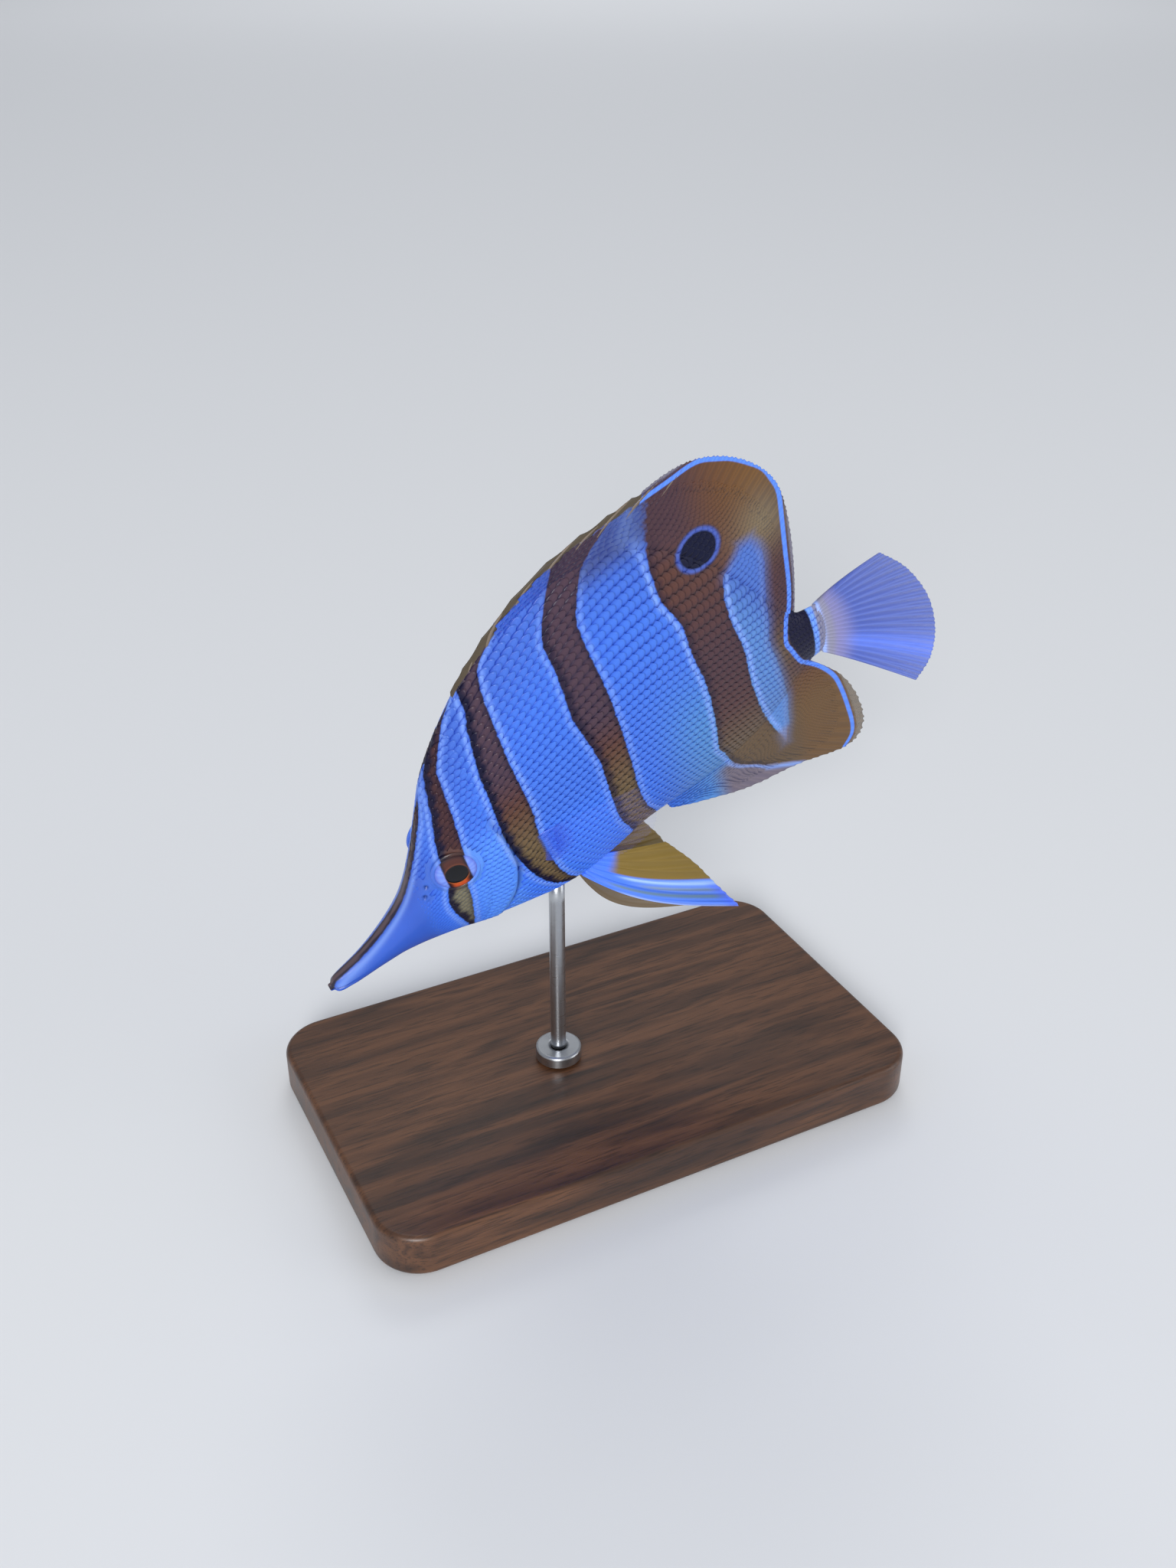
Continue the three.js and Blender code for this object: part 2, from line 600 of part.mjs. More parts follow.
// The space of the soft fin and a gap round it, which the last folded spines are cut clear of
function softSpace() {
  const place = (s, t) => {
    const u = THREE.MathUtils.lerp(SOFT_BASE_FROM, SOFT_BASE_TO, s);
    const [endU, endV] = onCurve(SOFT_MARGIN)(s);
    const over = 1.03;
    return point(
      THREE.MathUtils.lerp(u, endU, t * over),
      THREE.MathUtils.lerp(backAt(u) - 1.9, endV, t * over),
    );
  };
  return solid(sheetGeometry(20, 3, place, () => 3));
}

// Stand
function standBase() {
  const [x, y, r] = [BASE_LENGTH / 2 - BASE_BEVEL, BASE_WIDTH / 2 - BASE_BEVEL, BASE_CORNER - BASE_BEVEL];
  const outline = new THREE.Shape();
  outline.absarc(x - r, y - r, r, 0, Math.PI / 2);
  outline.absarc(-x + r, y - r, r, Math.PI / 2, Math.PI);
  outline.absarc(-x + r, -y + r, r, Math.PI, 1.5 * Math.PI);
  outline.absarc(x - r, -y + r, r, 1.5 * Math.PI, 2 * Math.PI);
  const geometry = new THREE.ExtrudeGeometry(outline, {
    depth: BASE_HEIGHT - 2 * BASE_BEVEL,
    bevelThickness: BASE_BEVEL,
    bevelSize: BASE_BEVEL,
    bevelSegments: 3,
    curveSegments: 6,
  });
  return solid(geometry.translate(0, 0, BASE_BEVEL));
}

function upright(radius, from, to, sides) {
  return solid(taperedBar(new THREE.Vector3(ROD_X, 0, from), new THREE.Vector3(ROD_X, 0, to), radius, radius, sides));
}

// The fish, turned and held at the top of the rod
const fish = new THREE.Group();
const banked = new THREE.Group();
banked.rotation.x = BANK_LEFT;
fish.rotation.y = -NOSE_DOWN;
fish.add(banked);
banked.add(...headParts(), ...bodyParts(), ...finParts());
fish.updateMatrixWorld(true);
const held = banked.localToWorld(point(...ROD_MEETS));
fish.position.set(ROD_X - held.x, -held.y, ROD_TOP - held.z);
fish.updateMatrixWorld(true);

const bodyOverRod = solid(trunkGeometry(PARTING).applyMatrix4(banked.matrixWorld));
const rod = upright(ROD_RADIUS, BASE_HEIGHT + COLLAR_HEIGHT + PARTING, ROD_TOP + 8, 16).subtract(bodyOverRod);
const collar = upright(COLLAR_RADIUS, BASE_HEIGHT + PARTING, BASE_HEIGHT + PARTING + COLLAR_HEIGHT - PARTING, 24);

const part = new THREE.Group();
part.add(fish);
part.add(named('stand_base', standBase(), BASE_WOOD()));
part.add(named('stand_collar', collar, ROD_STEEL()));
part.add(named('stand_rod', rod, ROD_STEEL()));

export default part;
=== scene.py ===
"""Copperband butterflyfish (Chelmon rostratus), life size, as a museum model on a plain display stand.

The fish is worked out in its own coordinates, in percent of its total length: u runs back from the tip of
the snout, v up towards the back, w out to the fish's left. Every surface is a function of two parameters,
worked out as whole arrays and then turned and set on the stand, in metres.
"""
import math

import bpy
import numpy as np
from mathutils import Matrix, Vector


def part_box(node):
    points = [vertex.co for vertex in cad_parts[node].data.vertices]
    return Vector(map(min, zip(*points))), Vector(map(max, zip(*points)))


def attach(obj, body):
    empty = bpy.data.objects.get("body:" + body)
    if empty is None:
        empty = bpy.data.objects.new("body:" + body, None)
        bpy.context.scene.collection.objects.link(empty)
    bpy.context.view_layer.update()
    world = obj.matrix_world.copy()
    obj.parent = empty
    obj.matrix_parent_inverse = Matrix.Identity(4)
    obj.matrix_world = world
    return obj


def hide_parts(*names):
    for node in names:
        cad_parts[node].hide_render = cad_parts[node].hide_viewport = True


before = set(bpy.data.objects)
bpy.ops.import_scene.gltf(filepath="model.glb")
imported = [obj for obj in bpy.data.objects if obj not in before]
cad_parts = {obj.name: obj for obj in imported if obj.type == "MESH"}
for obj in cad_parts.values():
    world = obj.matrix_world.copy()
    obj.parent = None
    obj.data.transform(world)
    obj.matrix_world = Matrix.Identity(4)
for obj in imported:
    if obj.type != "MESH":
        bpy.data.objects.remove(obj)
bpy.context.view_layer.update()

bl_info = {
    "name": "Copperband butterflyfish model",
    "version": (1, 0, 0),
    "blender": (4, 5, 0),
    "location": "View3D > Sidebar > Fish model",
    "description": "Builds the skin, scales, fins, eyes and stand of a life-size copperband butterflyfish",
    "category": "Object",
}

# Driving dimensions, in millimetres and degrees
TOTAL_LENGTH = 130
PERCENT = TOTAL_LENGTH / 100
MM = 0.001
NOSE_DOWN = math.radians(21)
BANK_LEFT = math.radians(12.2)
COAT_DEPTH = 0.2

# The trunk without fins, each value at its place along the fish, in percent
BACK_LINE = [
    (0, -7.7), (0.7, -7.05), (2, -6.7), (5, -5.7), (8, -4.3), (11, -2.4), (13.5, -0.2), (15.5, 2.6),
    (17.5, 6.2), (20, 11.4), (23, 17.6), (26, 21.8), (29, 25.3), (32, 28.2), (37, 31.6), (43, 34.4),
    (49, 35.9), (55, 35.7), (61, 32.8), (66, 28.0), (71, 21.2), (75, 14.0), (78, 8.4), (80, 6.2), (83.4, 5.8),
]
BELLY_LINE = [
    (0, -9.3), (0.7, -9.9), (3, -10.1), (7, -9.8), (10, -9.8), (13, -10.3), (16, -11.2), (20, -12.5),
    (25, -14.0), (30, -15.3), (34, -16.2), (38, -16.4), (43, -15.7), (50, -14.4), (57, -14.2), (64, -13.6),
    (70, -11.8), (75, -8.6), (78, -5.6), (80, -3.9), (83.4, -3.5),
]
HALF_WIDTH = [
    (0, 0.6), (0.7, 1.1), (2, 1.45), (5, 1.75), (10, 2.35), (14, 2.95), (18, 3.7), (22, 4.5), (27, 5.5),
    (32, 6.1), (38, 6.4), (45, 6.3), (52, 5.8), (60, 4.8), (68, 3.5), (75, 2.4), (80, 1.65),
    (82, 1.3), (83.4, 0.75),
]
WIDEST_LINE = [
    (0, -8.5), (5, -7.8), (10, -6.0), (14, -4.2), (18, -1.5), (22, 1.0), (28, 3.5), (36, 5.5),
    (45, 6.0), (55, 5.5), (65, 4.0), (75, 2.0), (83.4, 1.2),
]
BACK_KEEL = [(0, 0.5), (12, 0.52), (20, 0.62), (30, 0.75), (45, 0.8), (70, 0.85), (80, 0.6), (83.4, 0.5)]
BELLY_KEEL = [(0, 0.5), (20, 0.55), (38, 0.58), (52, 0.75), (70, 0.85), (80, 0.6), (83.4, 0.5)]
TRUNK_END = 83.4

# Head
MOUTH_LINE = [(0, -8.5), (3.2, -8.9), (6, -9.2)]
MOUTH_CORNER = 3.2
GILL_EDGE = [
    (-18, 23.2), (-12.2, 24.3), (-9, 26.2), (-4.5, 28.1), (0.5, 28.9), (5, 28.6), (9, 27.6), (14, 27.0),
    (22, 27.2), (30, 26.6),
]
GILL_TOP = 9.4
GILL_BOTTOM = -13.2
MID_TRUNK = 47
CHEEK_EDGE = [(-12, 22.0), (-8.5, 23.3), (-4, 24.4), (1, 25.0), (6, 25.6)]
NOSTRILS = [(16.3, 0.4), (17.0, 1.9)]
NOSTRIL_RADIUS = 0.34
EYE_AT = (21.3, 3.4)
EYE_RADIUS = 2.95
PUPIL_RADIUS = 1.56
EYE_SIDES = 96
EYE_TURNED_FORWARD = math.radians(12)
EYE_TURNED_UP = math.radians(5)

# Fins, in percent, as the solids have them
SPINE_ROOTS = [31.6, 33.2, 36.2, 39.9, 43.8, 47.6, 51.2, 55.0, 59.0]
SPINE_TIPS = [
    (33.4, 30.2), (35.5, 32.0), (40.5, 35.6), (46.2, 38.0), (51.3, 39.5), (55.7, 39.9), (59.6, 40.6),
    (64.3, 41.0), (67.8, 40.9),
]
SPINY_MARGIN = [
    (30.8, 27.4), (34.5, 30.7), (39.5, 34.0), (45, 36.7), (50.5, 38.2), (55, 38.8), (59, 39.3), (61.6, 39.5),
]
SPINY_BASE = (30.4, 57.6)
SPINES_FOLDED = 1.3
STRIP = 1.5
FIN_SUNK = 1.6
FIN_ROOT_HALF = 0.9
SOFT_RIDGE = 0.13
ANAL_RIDGE = 0.14
SOFT_RAYS = 29
SCALED = 0.72
SOFT_BASE = (57.2, 78.6)
SOFT_MARGIN = [
    (61.6, 39.5), (64.5, 40.0), (67.5, 40.0), (70.5, 39.2), (73.5, 37.5), (76.2, 35.1), (78.4, 32.2),
    (79.8, 29.0), (80.4, 25.0), (80.5, 20.0), (80.2, 14.5), (79.7, 10.2), (79.2, 7.0),
]
ANAL_RAYS = 20
ANAL_BASE = (53.0, 79.4)
ANAL_MARGIN = [
    (54.0, -15.6), (57, -17.3), (61, -19.2), (65, -21.0), (69, -22.2), (73, -22.9), (77, -23.9),
    (81, -25.4), (84.2, -26.3), (86.8, -25.7), (88.1, -23.2), (88.0, -19.5), (87.0, -15.0),
    (85.2, -10.6), (82.8, -7.0), (80.9, -4.6),
]
ANAL_SPINES = [((54.5, -13.3), (57.9, -18.1)), ((56.8, -13.2), (62.0, -20.4)), ((59.4, -13.0), (66.9, -22.3))]
TAIL_RAYS = 17
TAIL_ROOT = [(82.4, 5.5, 0), (82.4, -3.3, 0)]
TAIL_MARGIN = [
    (90.9, 12.8, 4.4), (94.4, 8.2, 5.3), (96.9, 1.9, 6.2), (97.5, -4.6, 6.6), (96.4, -10.0, 6.5),
    (93.9, -13.6, 6.0),
]
TAIL_SWEEP_POWER = 1.35
PELVIC_RAYS = 6
PELVICS = {
    "left": {
        "root": [(37.4, -15.0, 1.7), (41.6, -14.2, 1.5)],
        "tips": [(56.6, -33.0, 9.2), (54.3, -26.2, 8.4), (52.7, -21.4, 6.2), (50.4, -17.0, 3.6)],
        "bow": (-2.1, -0.5, 0),
    },
    "right": {
        "root": [(37.4, -15.0, -1.7), (41.6, -14.2, -1.5)],
        "tips": [(52.4, -38.6, 0.6), (52.9, -32.5, -2.2), (52.6, -26.0, -3.6), (50.4, -19.0, -3.6)],
        "bow": (-3.6, -1.7, 0),
    },
}
PECTORAL_RAYS = 14
PECTORAL_ROOT = [(30.9, 2.6), (31.9, -2.6)]
PECTORAL_TIPS = [(46.6, 4.2, 9.2), (48.0, 0.2, 10.2), (46.8, -4.6, 9.8), (42.6, -7.6, 8.3), (38.4, -7.4, 7.2)]

# Stand, in millimetres
ROD_X = -8
ROD_TOP = 50
ROD_RADIUS = 1.5
ROD_MEETS = (34.0, -16.2, 0)
BASE_BEVEL = 1.2
BASE_CORNER = 9.0
BASE_FLAT = 30.0
COLLAR_BORE = 1.52
TURNED_SIDES = 64

# Markings. They are drawn as seen from the viewer's place, cast onto the fish's middle plane: each band is
# (height, front edge, rear edge), from the belly up. The rear band's foot and the pale line are (place along
# the fish, height)
VIEWER = (4.2, 156.5, 130.3)
EYE_BAND = [
    (-14, 20.6, 21.0), (-12, 19.9, 21.6), (-10, 19.4, 22.0), (-8, 19.1, 22.4), (-6, 19.3, 22.5),
    (-3, 20.3, 23.5), (0, 20.5, 23.9), (4, 20.8, 24.2), (8, 21.6, 24.6), (12, 22.4, 24.8), (16, 23.0, 25.0),
    (20, 24.5, 26.5), (24, 27.0, 28.4), (27, 29.6, 30.6),
]
SECOND_BAND = [
    (-19.6, 41.0, 43.0), (-18.6, 38.4, 40.6), (-17.6, 36.4, 37.6), (-16, 34.0, 36.2), (-14, 32.6, 35.4),
    (-12, 31.7, 35.0), (-8, 30.6, 34.6), (-4, 29.9, 34.4), (0, 29.7, 34.7), (4, 29.8, 34.6), (12, 30.0, 34.2),
    (16, 30.4, 34.2), (20, 30.8, 34.2), (24, 31.5, 34.3), (28, 31.5, 34.8), (32, 33.4, 38.0),
]
THIRD_BAND = [
    (-16, 47.6, 52.2), (-14, 47.0, 51.5), (-12, 46.3, 50.6), (-8, 46.0, 50.2), (0, 46.0, 50.3),
    (4, 45.6, 50.3), (8, 44.9, 50.1), (12, 44.2, 50.0), (20, 44.2, 49.2), (26, 43.7, 48.8), (30, 44.8, 49.8),
    (34, 46.5, 51.5), (37, 48.2, 55.0), (39.5, 50.4, 59.5),
]
REAR_BAND_FRONT = [
    (-20, 71.0), (-18, 69.0), (-16, 66.5), (-14, 65.0), (-12, 64.4), (-10, 63.6), (-4, 64.0), (0, 64.0),
    (4, 63.8), (8, 63.2), (12, 62.8), (16, 62.4), (18, 61.8), (22, 60.4), (28, 60.0), (32, 60.3), (36, 60.9),
    (41, 62.4),
]
REAR_BAND_FOOT = [
    (60, -10.6), (63.2, -12.2), (64.8, -14.4), (67, -16.8), (70, -19.0), (73, -20.9), (76, -22.9),
    (79, -25.5), (90, -36),
]
LENS = [
    (-17, 74.0, 74.6), (-14, 73.2, 75.3), (-11, 72.2, 75.6), (-8, 71.5, 75.9), (-5, 71.1, 75.8),
    (0, 70.7, 75.3), (4, 70.7, 74.7), (8, 70.2, 75.2), (12, 69.5, 75.3), (16, 69.3, 75.7), (19.4, 69.7, 76.0),
    (22, 71.7, 75.4), (23.6, 73.0, 74.4),
]
PALE_LINE = [
    (60, 38.3), (65, 38.8), (68, 39.2), (70, 39.0), (72, 38.0), (74, 36.8), (76, 35.0), (78, 32.8),
    (79, 30.5), (79.7, 28.0), (79.6, 24.0), (79.3, 18.0), (79.0, 12.0), (78.4, 8.0), (77.8, 6.0), (77.2, 2.0),
    (77.8, 0.0), (79.0, -3.2), (80.2, -4.4), (82.0, -6.5), (84.0, -10.0), (85.0, -14.0), (85.6, -18.0),
    (86.0, -22.0), (85.6, -24.5), (84.0, -26.2),
]
PALE_LINE_HALF = 0.34
SPOT_AT = (67.0, 26.4)
SPOT_RADIUS = 2.55
STALK_FROM = 76.6
BAR_END = 80.8
EYE_BAND_HEIGHTS = (-13.6, 26.5)
LENS_HEIGHTS = (-17.2, 23.4)
STRIPE_HALF = 0.72
# Painted shade in the mouth line, the nostrils and the groove behind the gill cover
CREASE_SHADE = "#15132a"
# Painted shade inside the mouth
MOUTH_SHADE = "#1b1020"
PALE_LINE_COLOUR = "#5e8ff4"
SPOT_BLACK = "#040a2c"
SPOT_RING = "#4a5fb0"
SPOT_SHADE = "#42333a"
SPOT_RAMP = [
    (0.0, SPOT_BLACK), (0.12, SPOT_BLACK), (0.3, SPOT_RING), (0.44, SPOT_RING),
    (0.75, SPOT_SHADE), (1.0, SPOT_SHADE),
]
BORDER_HALF = 0.12
SIDES = ((1, "left"), (-1, "right"))

# Colours of finishes, eyes and clear fins, as sRGB hex values
SHADE_RAMP = [(0.0, "#5d7fd0"), (1.0, "#ffffff")]
STEEL_COLOUR = "#b9bcc0"
CARD_COLOUR = "#dcdee1"
STUDIO_COLOUR = "#e4e8ef"
WALNUT_RAMP = [(0.28, "#2c1a10"), (0.45, "#4a2e1c"), (0.58, "#5f3d26"), (0.72, "#3c2416")]
EYE_COLOURS = {
    "silver": "#7d9aee", "rays": "#5a78e0", "violet": "#4a52b4", "brown": "#4a2620", "red": "#c9532a",
    "dark": "#150f1a", "ring": "#b5652f", "pupil": "#020308",
}
RIM_COLOURS = {"mark": "#15111c", "ground": "#5f6fc4"}
# The tail's brighter streak among these colours is a painted highlight
TAIL_COLOURS = {
    "web": "#3c58bc", "rays": "#6a82d8", "painted_sheen": "#5f86ff", "inner": "#9a93c0", "root_line": "#9db8ff",
}
# The side fin's inner colour is its darker root: partly the thicker root itself, partly painted shade
SIDE_FIN_COLOURS = {"web": "#5f6fe6", "rays": "#8b9cff", "inner": "#3d60e2"}
BELLY_FIN_COLOURS = {
    "front": "#4a7cf2", "web": "#7d662c", "first_line": "#6d877f", "second_line": "#8f9c6c",
    "third_line": "#a9cbf6", "front_edge": "#b9cdf6", "between_rays": "#6f5a22", "tip": "#4f6fff",
    "far_edge": "#70604a",
}


# Colour and shader helpers
def linear(colour):
    """A linear colour from an sRGB hex value: each channel c is c/12.92 below 0.04045, ((c +
    0.055)/1.055)^2.4 above."""
    channels = [int(colour[i:i + 2], 16) / 255 for i in (1, 3, 5)]
    return [c / 12.92 if c <= 0.04045 else ((c + 0.055) / 1.055) ** 2.4 for c in channels]


def linear_all(table):
    """A table of sRGB hex values made linear."""
    return {name: linear(colour) for name, colour in table.items()}


def node(tree, kind, settings=None, links=None):
    """Adds a shader node. Settings are values of its inputs or properties, or a ramp's stops; links are
    sockets."""
    made = tree.nodes.new("ShaderNode" + kind)
    inputs_later = {}
    for key, value in (settings or {}).items():
        if key == "ramp":
            ramp = made.color_ramp
            for i, (at, colour) in enumerate(value):
                stop = ramp.elements[i] if i < 2 else ramp.elements.new(at)
                stop.position = at
                stop.color = [*linear(colour), 1]
        elif isinstance(key, str) and hasattr(made, key):
            setattr(made, key, value)
        else:
            inputs_later[key] = value
    for key, value in inputs_later.items():
        made.inputs[key].default_value = value
    for key, source in (links or {}).items():
        tree.links.new(source, made.inputs[key])
    return made


def principled(tree, settings, links=None):
    """The surface that every finish here ends in, joined to the material's output."""
    surface = node(tree, "BsdfPrincipled", settings, links)
    node(tree, "OutputMaterial", {}, {"Surface": surface.outputs[0]})


def material(name):
    """A new material and its cleared node tree."""
    made = bpy.data.materials.new(name)
    made.use_nodes = True
    made.node_tree.nodes.clear()
    return made, made.node_tree


# Curves and steps
def through(points):
    """Smooth curve through points of rising first value: between two points the cubic that keeps both
    heights and, at each, the harmonic mean of the slopes on its two sides, or a level there where the
    slopes differ in sign."""
    x, y = np.array(points, float).T
    slope = np.diff(y) / np.diff(x)
    before, after = slope[:-1], slope[1:]
    turns = before * after <= 0
    inner = np.where(turns, 0, 2 * before * after / np.where(turns, 1, before + after))
    tangent = np.concatenate([slope[:1], inner, slope[-1:]])

    def curve(value):
        at = np.clip(value, x[0], x[-1])
        i = np.clip(np.searchsorted(x, at) - 1, 0, len(x) - 2)
        step = x[i + 1] - x[i]
        t = (at - x[i]) / step
        rise = (3 - 2 * t) * t * t * (y[i + 1] - y[i])
        return y[i] + rise + t * (1 - t) ** 2 * step * tangent[i] - t * t * (1 - t) * step * tangent[i + 1]

    return curve


def along(points):
    """Curve through points in the plane or in space, s from 0 to 1: the cubic whose slope at each point is
    half the step between its neighbours."""
    knots = np.array(points, float)
    last = len(knots) - 1

    def curve(s):
        run = np.clip(s, 0, 1) * last
        i = np.minimum(run.astype(int), last - 1)
        t = (run - i)[..., None]
        before, start, end, after = (knots[np.clip(i + k, 0, last)] for k in (-1, 0, 1, 2))
        lead, trail = (end - before) / 2, (after - start) / 2
        bend = (2 * start - 2 * end + lead + trail) * t + 3 * (end - start) - 2 * lead - trail
        return bend * t * t + lead * t + start

    return curve


def smooth(x):
    """0 below 0, 1 above 1, and 3x^2 - 2x^3 between."""
    x = np.clip(x, 0, 1)
    return x * x * (3 - 2 * x)


def bell(x):
    """exp(-x^2): 1 at 0 and nothing from about 2 on."""
    return np.exp(-np.square(x))


def band_edges(table):
    """Curves of a band's front and rear edge over height."""
    rows = np.array(table, float)
    return through(rows[:, [0, 1]]), through(rows[:, [0, 2]])


def columns(*values):
    """Values side by side along a new last axis."""
    return np.stack(np.broadcast_arrays(*values), -1).astype(float)


back_at, belly_at, width_at = through(BACK_LINE), through(BELLY_LINE), through(HALF_WIDTH)
widest_at, back_keel_at, belly_keel_at = through(WIDEST_LINE), through(BACK_KEEL), through(BELLY_KEEL)
mouth_at, gill_at, cheek_at = through(MOUTH_LINE), through(GILL_EDGE), through(CHEEK_EDGE)


# Where the fish is held
def turned():
    """The turn from the fish's own axes to the stand's: bank about x, then nose down about y."""
    c, s = math.cos(BANK_LEFT), math.sin(BANK_LEFT)
    bank = np.array([[1, 0, 0], [0, c, -s], [0, s, c]])
    c, s = math.cos(-NOSE_DOWN), math.sin(-NOSE_DOWN)
    pitch = np.array([[c, 0, s], [0, 1, 0], [-s, 0, c]])
    return pitch @ bank


TURN = turned()


def own_axes(places):
    """(u, v, w) in percent to the fish's own x, y, z in millimetres: (u, -w, v) times a hundredth of its
    length."""
    u, v, w = np.moveaxis(np.asarray(places, float), -1, 0)
    return columns(u, -w, v) * PERCENT


HELD_AT = np.array([ROD_X, 0, ROD_TOP]) - TURN @ own_axes(ROD_MEETS)


def on_stand(places):
    """(u, v, w) in percent to metres in the stand's frame."""
    return (own_axes(places) @ TURN.T + HELD_AT) * MM


# The trunk's surface
def ring(u, angle):
    """(v, w) of the trunk at a station: height cos(angle) from the widest line to the back or the belly
    line, and width |sin(angle)| to the power of twice the keel, for angles from 0 at the back to pi at the
    belly."""
    middle, height = widest_at(u), np.cos(angle)
    reach = np.where(height > 0, back_at(u) - middle, middle - belly_at(u))
    keel = np.where(height > 0, back_keel_at(u), belly_keel_at(u))
    return middle + height * reach, width_at(u) * np.abs(np.sin(angle)) ** (2 * keel)


def half_width_at(u, v):
    """Half width of the trunk at a place on its side: W (1 - share^2)^keel."""
    middle = widest_at(u)
    reach = np.where(v > middle, back_at(u) - middle, middle - belly_at(u))
    keel = np.where(v > middle, back_keel_at(u), belly_keel_at(u))
    share = np.clip(np.abs(v - middle) / reach, 0, 1)
    return width_at(u) * (1 - share ** 2) ** keel


STATIONS = np.linspace(0, TRUNK_END, 280)
ANGLES = np.linspace(0, math.pi, 181)


def girths():
    """Distance round one side at each station, down from the widest line, for each angle."""
    v, w = ring(STATIONS[:, None], ANGLES[None, :])
    run = np.cumsum(np.hypot(np.diff(v, prepend=v[:, :1]), np.diff(w, prepend=w[:, :1])), 1)
    return run - run[:, ANGLES.size // 2, None]


DOWN = girths()
APART = 1000.0
FLAT_DOWN = (DOWN + APART * np.arange(STATIONS.size)[:, None]).ravel()
FLAT_ANGLE = np.tile(ANGLES, STATIONS.size)


def angle_at(u, up):
    """The angle at a distance up round the side from the widest line, between the two nearest stations."""
    run = np.clip(u / TRUNK_END, 0, 1) * (STATIONS.size - 1)
    i = np.minimum(run.astype(int), STATIONS.size - 2)
    part = run - i
    limits = [np.clip(-up, DOWN[k, 0], DOWN[k, -1]) + APART * k for k in (i, i + 1)]
    first, second = (np.interp(limit, FLAT_DOWN, FLAT_ANGLE) for limit in limits)
    return first + (second - first) * part


def top_at(u):
    """Distance round the side from the widest line up to the back line."""
    return np.interp(u, STATIONS, -DOWN[:, 0])


def bottom_at(u):
    """The same down to the belly line, below 0."""
    return np.interp(u, STATIONS, -DOWN[:, -1])


def bare(u, up, side):
    """A place on the trunk without the head's forms, on the left for side 1 and the right for -1."""
    v, w = ring(u, angle_at(u, up))
    return columns(u, v, w * side)


def eye_frame(side):
    """The eye's middle on the trunk and its axes: out of the head, towards the tail and up."""
    u, v = EYE_AT
    middle = np.array([u, v, side * float(half_width_at(u, v))])
    out = np.array([
        -math.sin(EYE_TURNED_FORWARD),
        math.sin(EYE_TURNED_UP),
        side * math.cos(EYE_TURNED_FORWARD) * math.cos(EYE_TURNED_UP),
    ])
    out /= np.linalg.norm(out)
    up = np.array([0, 1, 0]) - out * out[1]
    up /= np.linalg.norm(up)
    tailward = np.cross(up, out) * side
    return middle, out, tailward, up


def on_gill_cover(v):
    """Share of the gill cover's rear edge, 0 to 1: it grows over 2.5 percent from the lower end, and fades
    over 5 percent towards the upper one."""
    return smooth((v - GILL_BOTTOM) / 2.5) * smooth((GILL_TOP + 1 - v) / 5)


def relief(place, side):
    """Height of the forms of the head over the smooth trunk, in percent: a sum of bells and steps along
    their lines."""
    u, v = place[..., 0], place[..., 1]
    height = np.zeros(u.shape)
    # Gill cover: rises towards its rear edge, drops into a groove behind it
    ahead = gill_at(v) - u
    cover = 0.5 * smooth(1 - ahead / 6) * smooth(ahead / 0.35 + 0.2)
    height += on_gill_cover(v) * np.where(ahead > 0, cover, -0.42 * bell(ahead / 0.5))
    # Cheek plate: a shallow groove along its rear edge
    height -= 0.17 * bell((u - cheek_at(v)) / 0.3) * smooth((v + 11.5) / 2) * smooth((7 - v) / 2)
    # Mouth line, lips and chin
    from_mouth = v - mouth_at(u)
    at_mouth = smooth((MOUTH_CORNER + 0.4 - u) / 0.8) * smooth((u + 0.05) / 0.5)
    height -= 0.32 * at_mouth * bell(from_mouth / 0.13)
    height += 0.15 * at_mouth * bell((np.abs(from_mouth) - 0.5) / 0.33) * smooth((2.4 - u) / 1.6)
    # Nostrils: pits with a low rim
    for at_u, at_v in NOSTRILS:
        far = np.hypot(u - at_u, v - at_v) / NOSTRIL_RADIUS
        height += -0.55 * bell(far / 0.85) ** 2 + 0.12 * bell((far - 1.45) / 0.5)
    # Orbit: a sunk socket under the eye and a soft rim round it
    middle, _, tailward, up = eye_frame(side)
    across, above = (place - middle) @ tailward, (place - middle) @ up
    far = np.hypot(across, above)
    height = np.where(far < EYE_RADIUS + 1.6, height * smooth((far - EYE_RADIUS) / 1.6), height)
    height += 0.22 * bell((far - EYE_RADIUS - 0.4) / 0.45) - 1.3 * smooth((EYE_RADIUS - 0.02 - far) / 0.3)
    # Fleshy root of the side fin
    height += 0.3 * bell((u - 31.0) / 0.9) * bell(v / 2.8)
    return height


def creases(u, v):
    """Share of shadow, 0 to 1, in the mouth line, the nostrils and the groove behind the gill cover."""
    shade = smooth((MOUTH_CORNER + 0.3 - u) / 0.6) * bell((v - mouth_at(u)) / 0.11)
    for at_u, at_v in NOSTRILS:
        shade = np.maximum(shade, 0.8 * bell(np.hypot(u - at_u, v - at_v) / NOSTRIL_RADIUS / 0.8))
    return np.maximum(shade, 0.55 * on_gill_cover(v) * bell((u - gill_at(v) - 0.35) / 0.35))


def skin_at(u, up, side, lift=0.0):
    """A place on the skin and the way out of it: the trunk, moved out by the head's relief and by lift.
    Past the back or the belly line it runs on down the other side."""
    top, bottom = top_at(u), bottom_at(u)
    over = (up > top) | (up < bottom)
    side = np.where(over, -side, side) * np.ones(u.shape)
    up = np.where(up > top, 2 * top - up, np.where(up < bottom, 2 * bottom - up, up))
    here = bare(u, up, side)
    step_u = np.where(u < TRUNK_END / 2, 0.02, -0.02)
    step_up = np.where(up > 0, -0.02, 0.02)
    by_u = (bare(u + step_u, up, side) - here) / step_u[..., None]
    by_up = (bare(u, up + step_up, side) - here) / step_up[..., None]
    out = np.cross(by_u, by_up) * side[..., None]
    out /= np.linalg.norm(out, axis=-1, keepdims=True) + 1e-12
    raised = np.where(side > 0, relief(here, 1), relief(here, -1))
    return here, out, here + out * (raised + lift)[..., None]


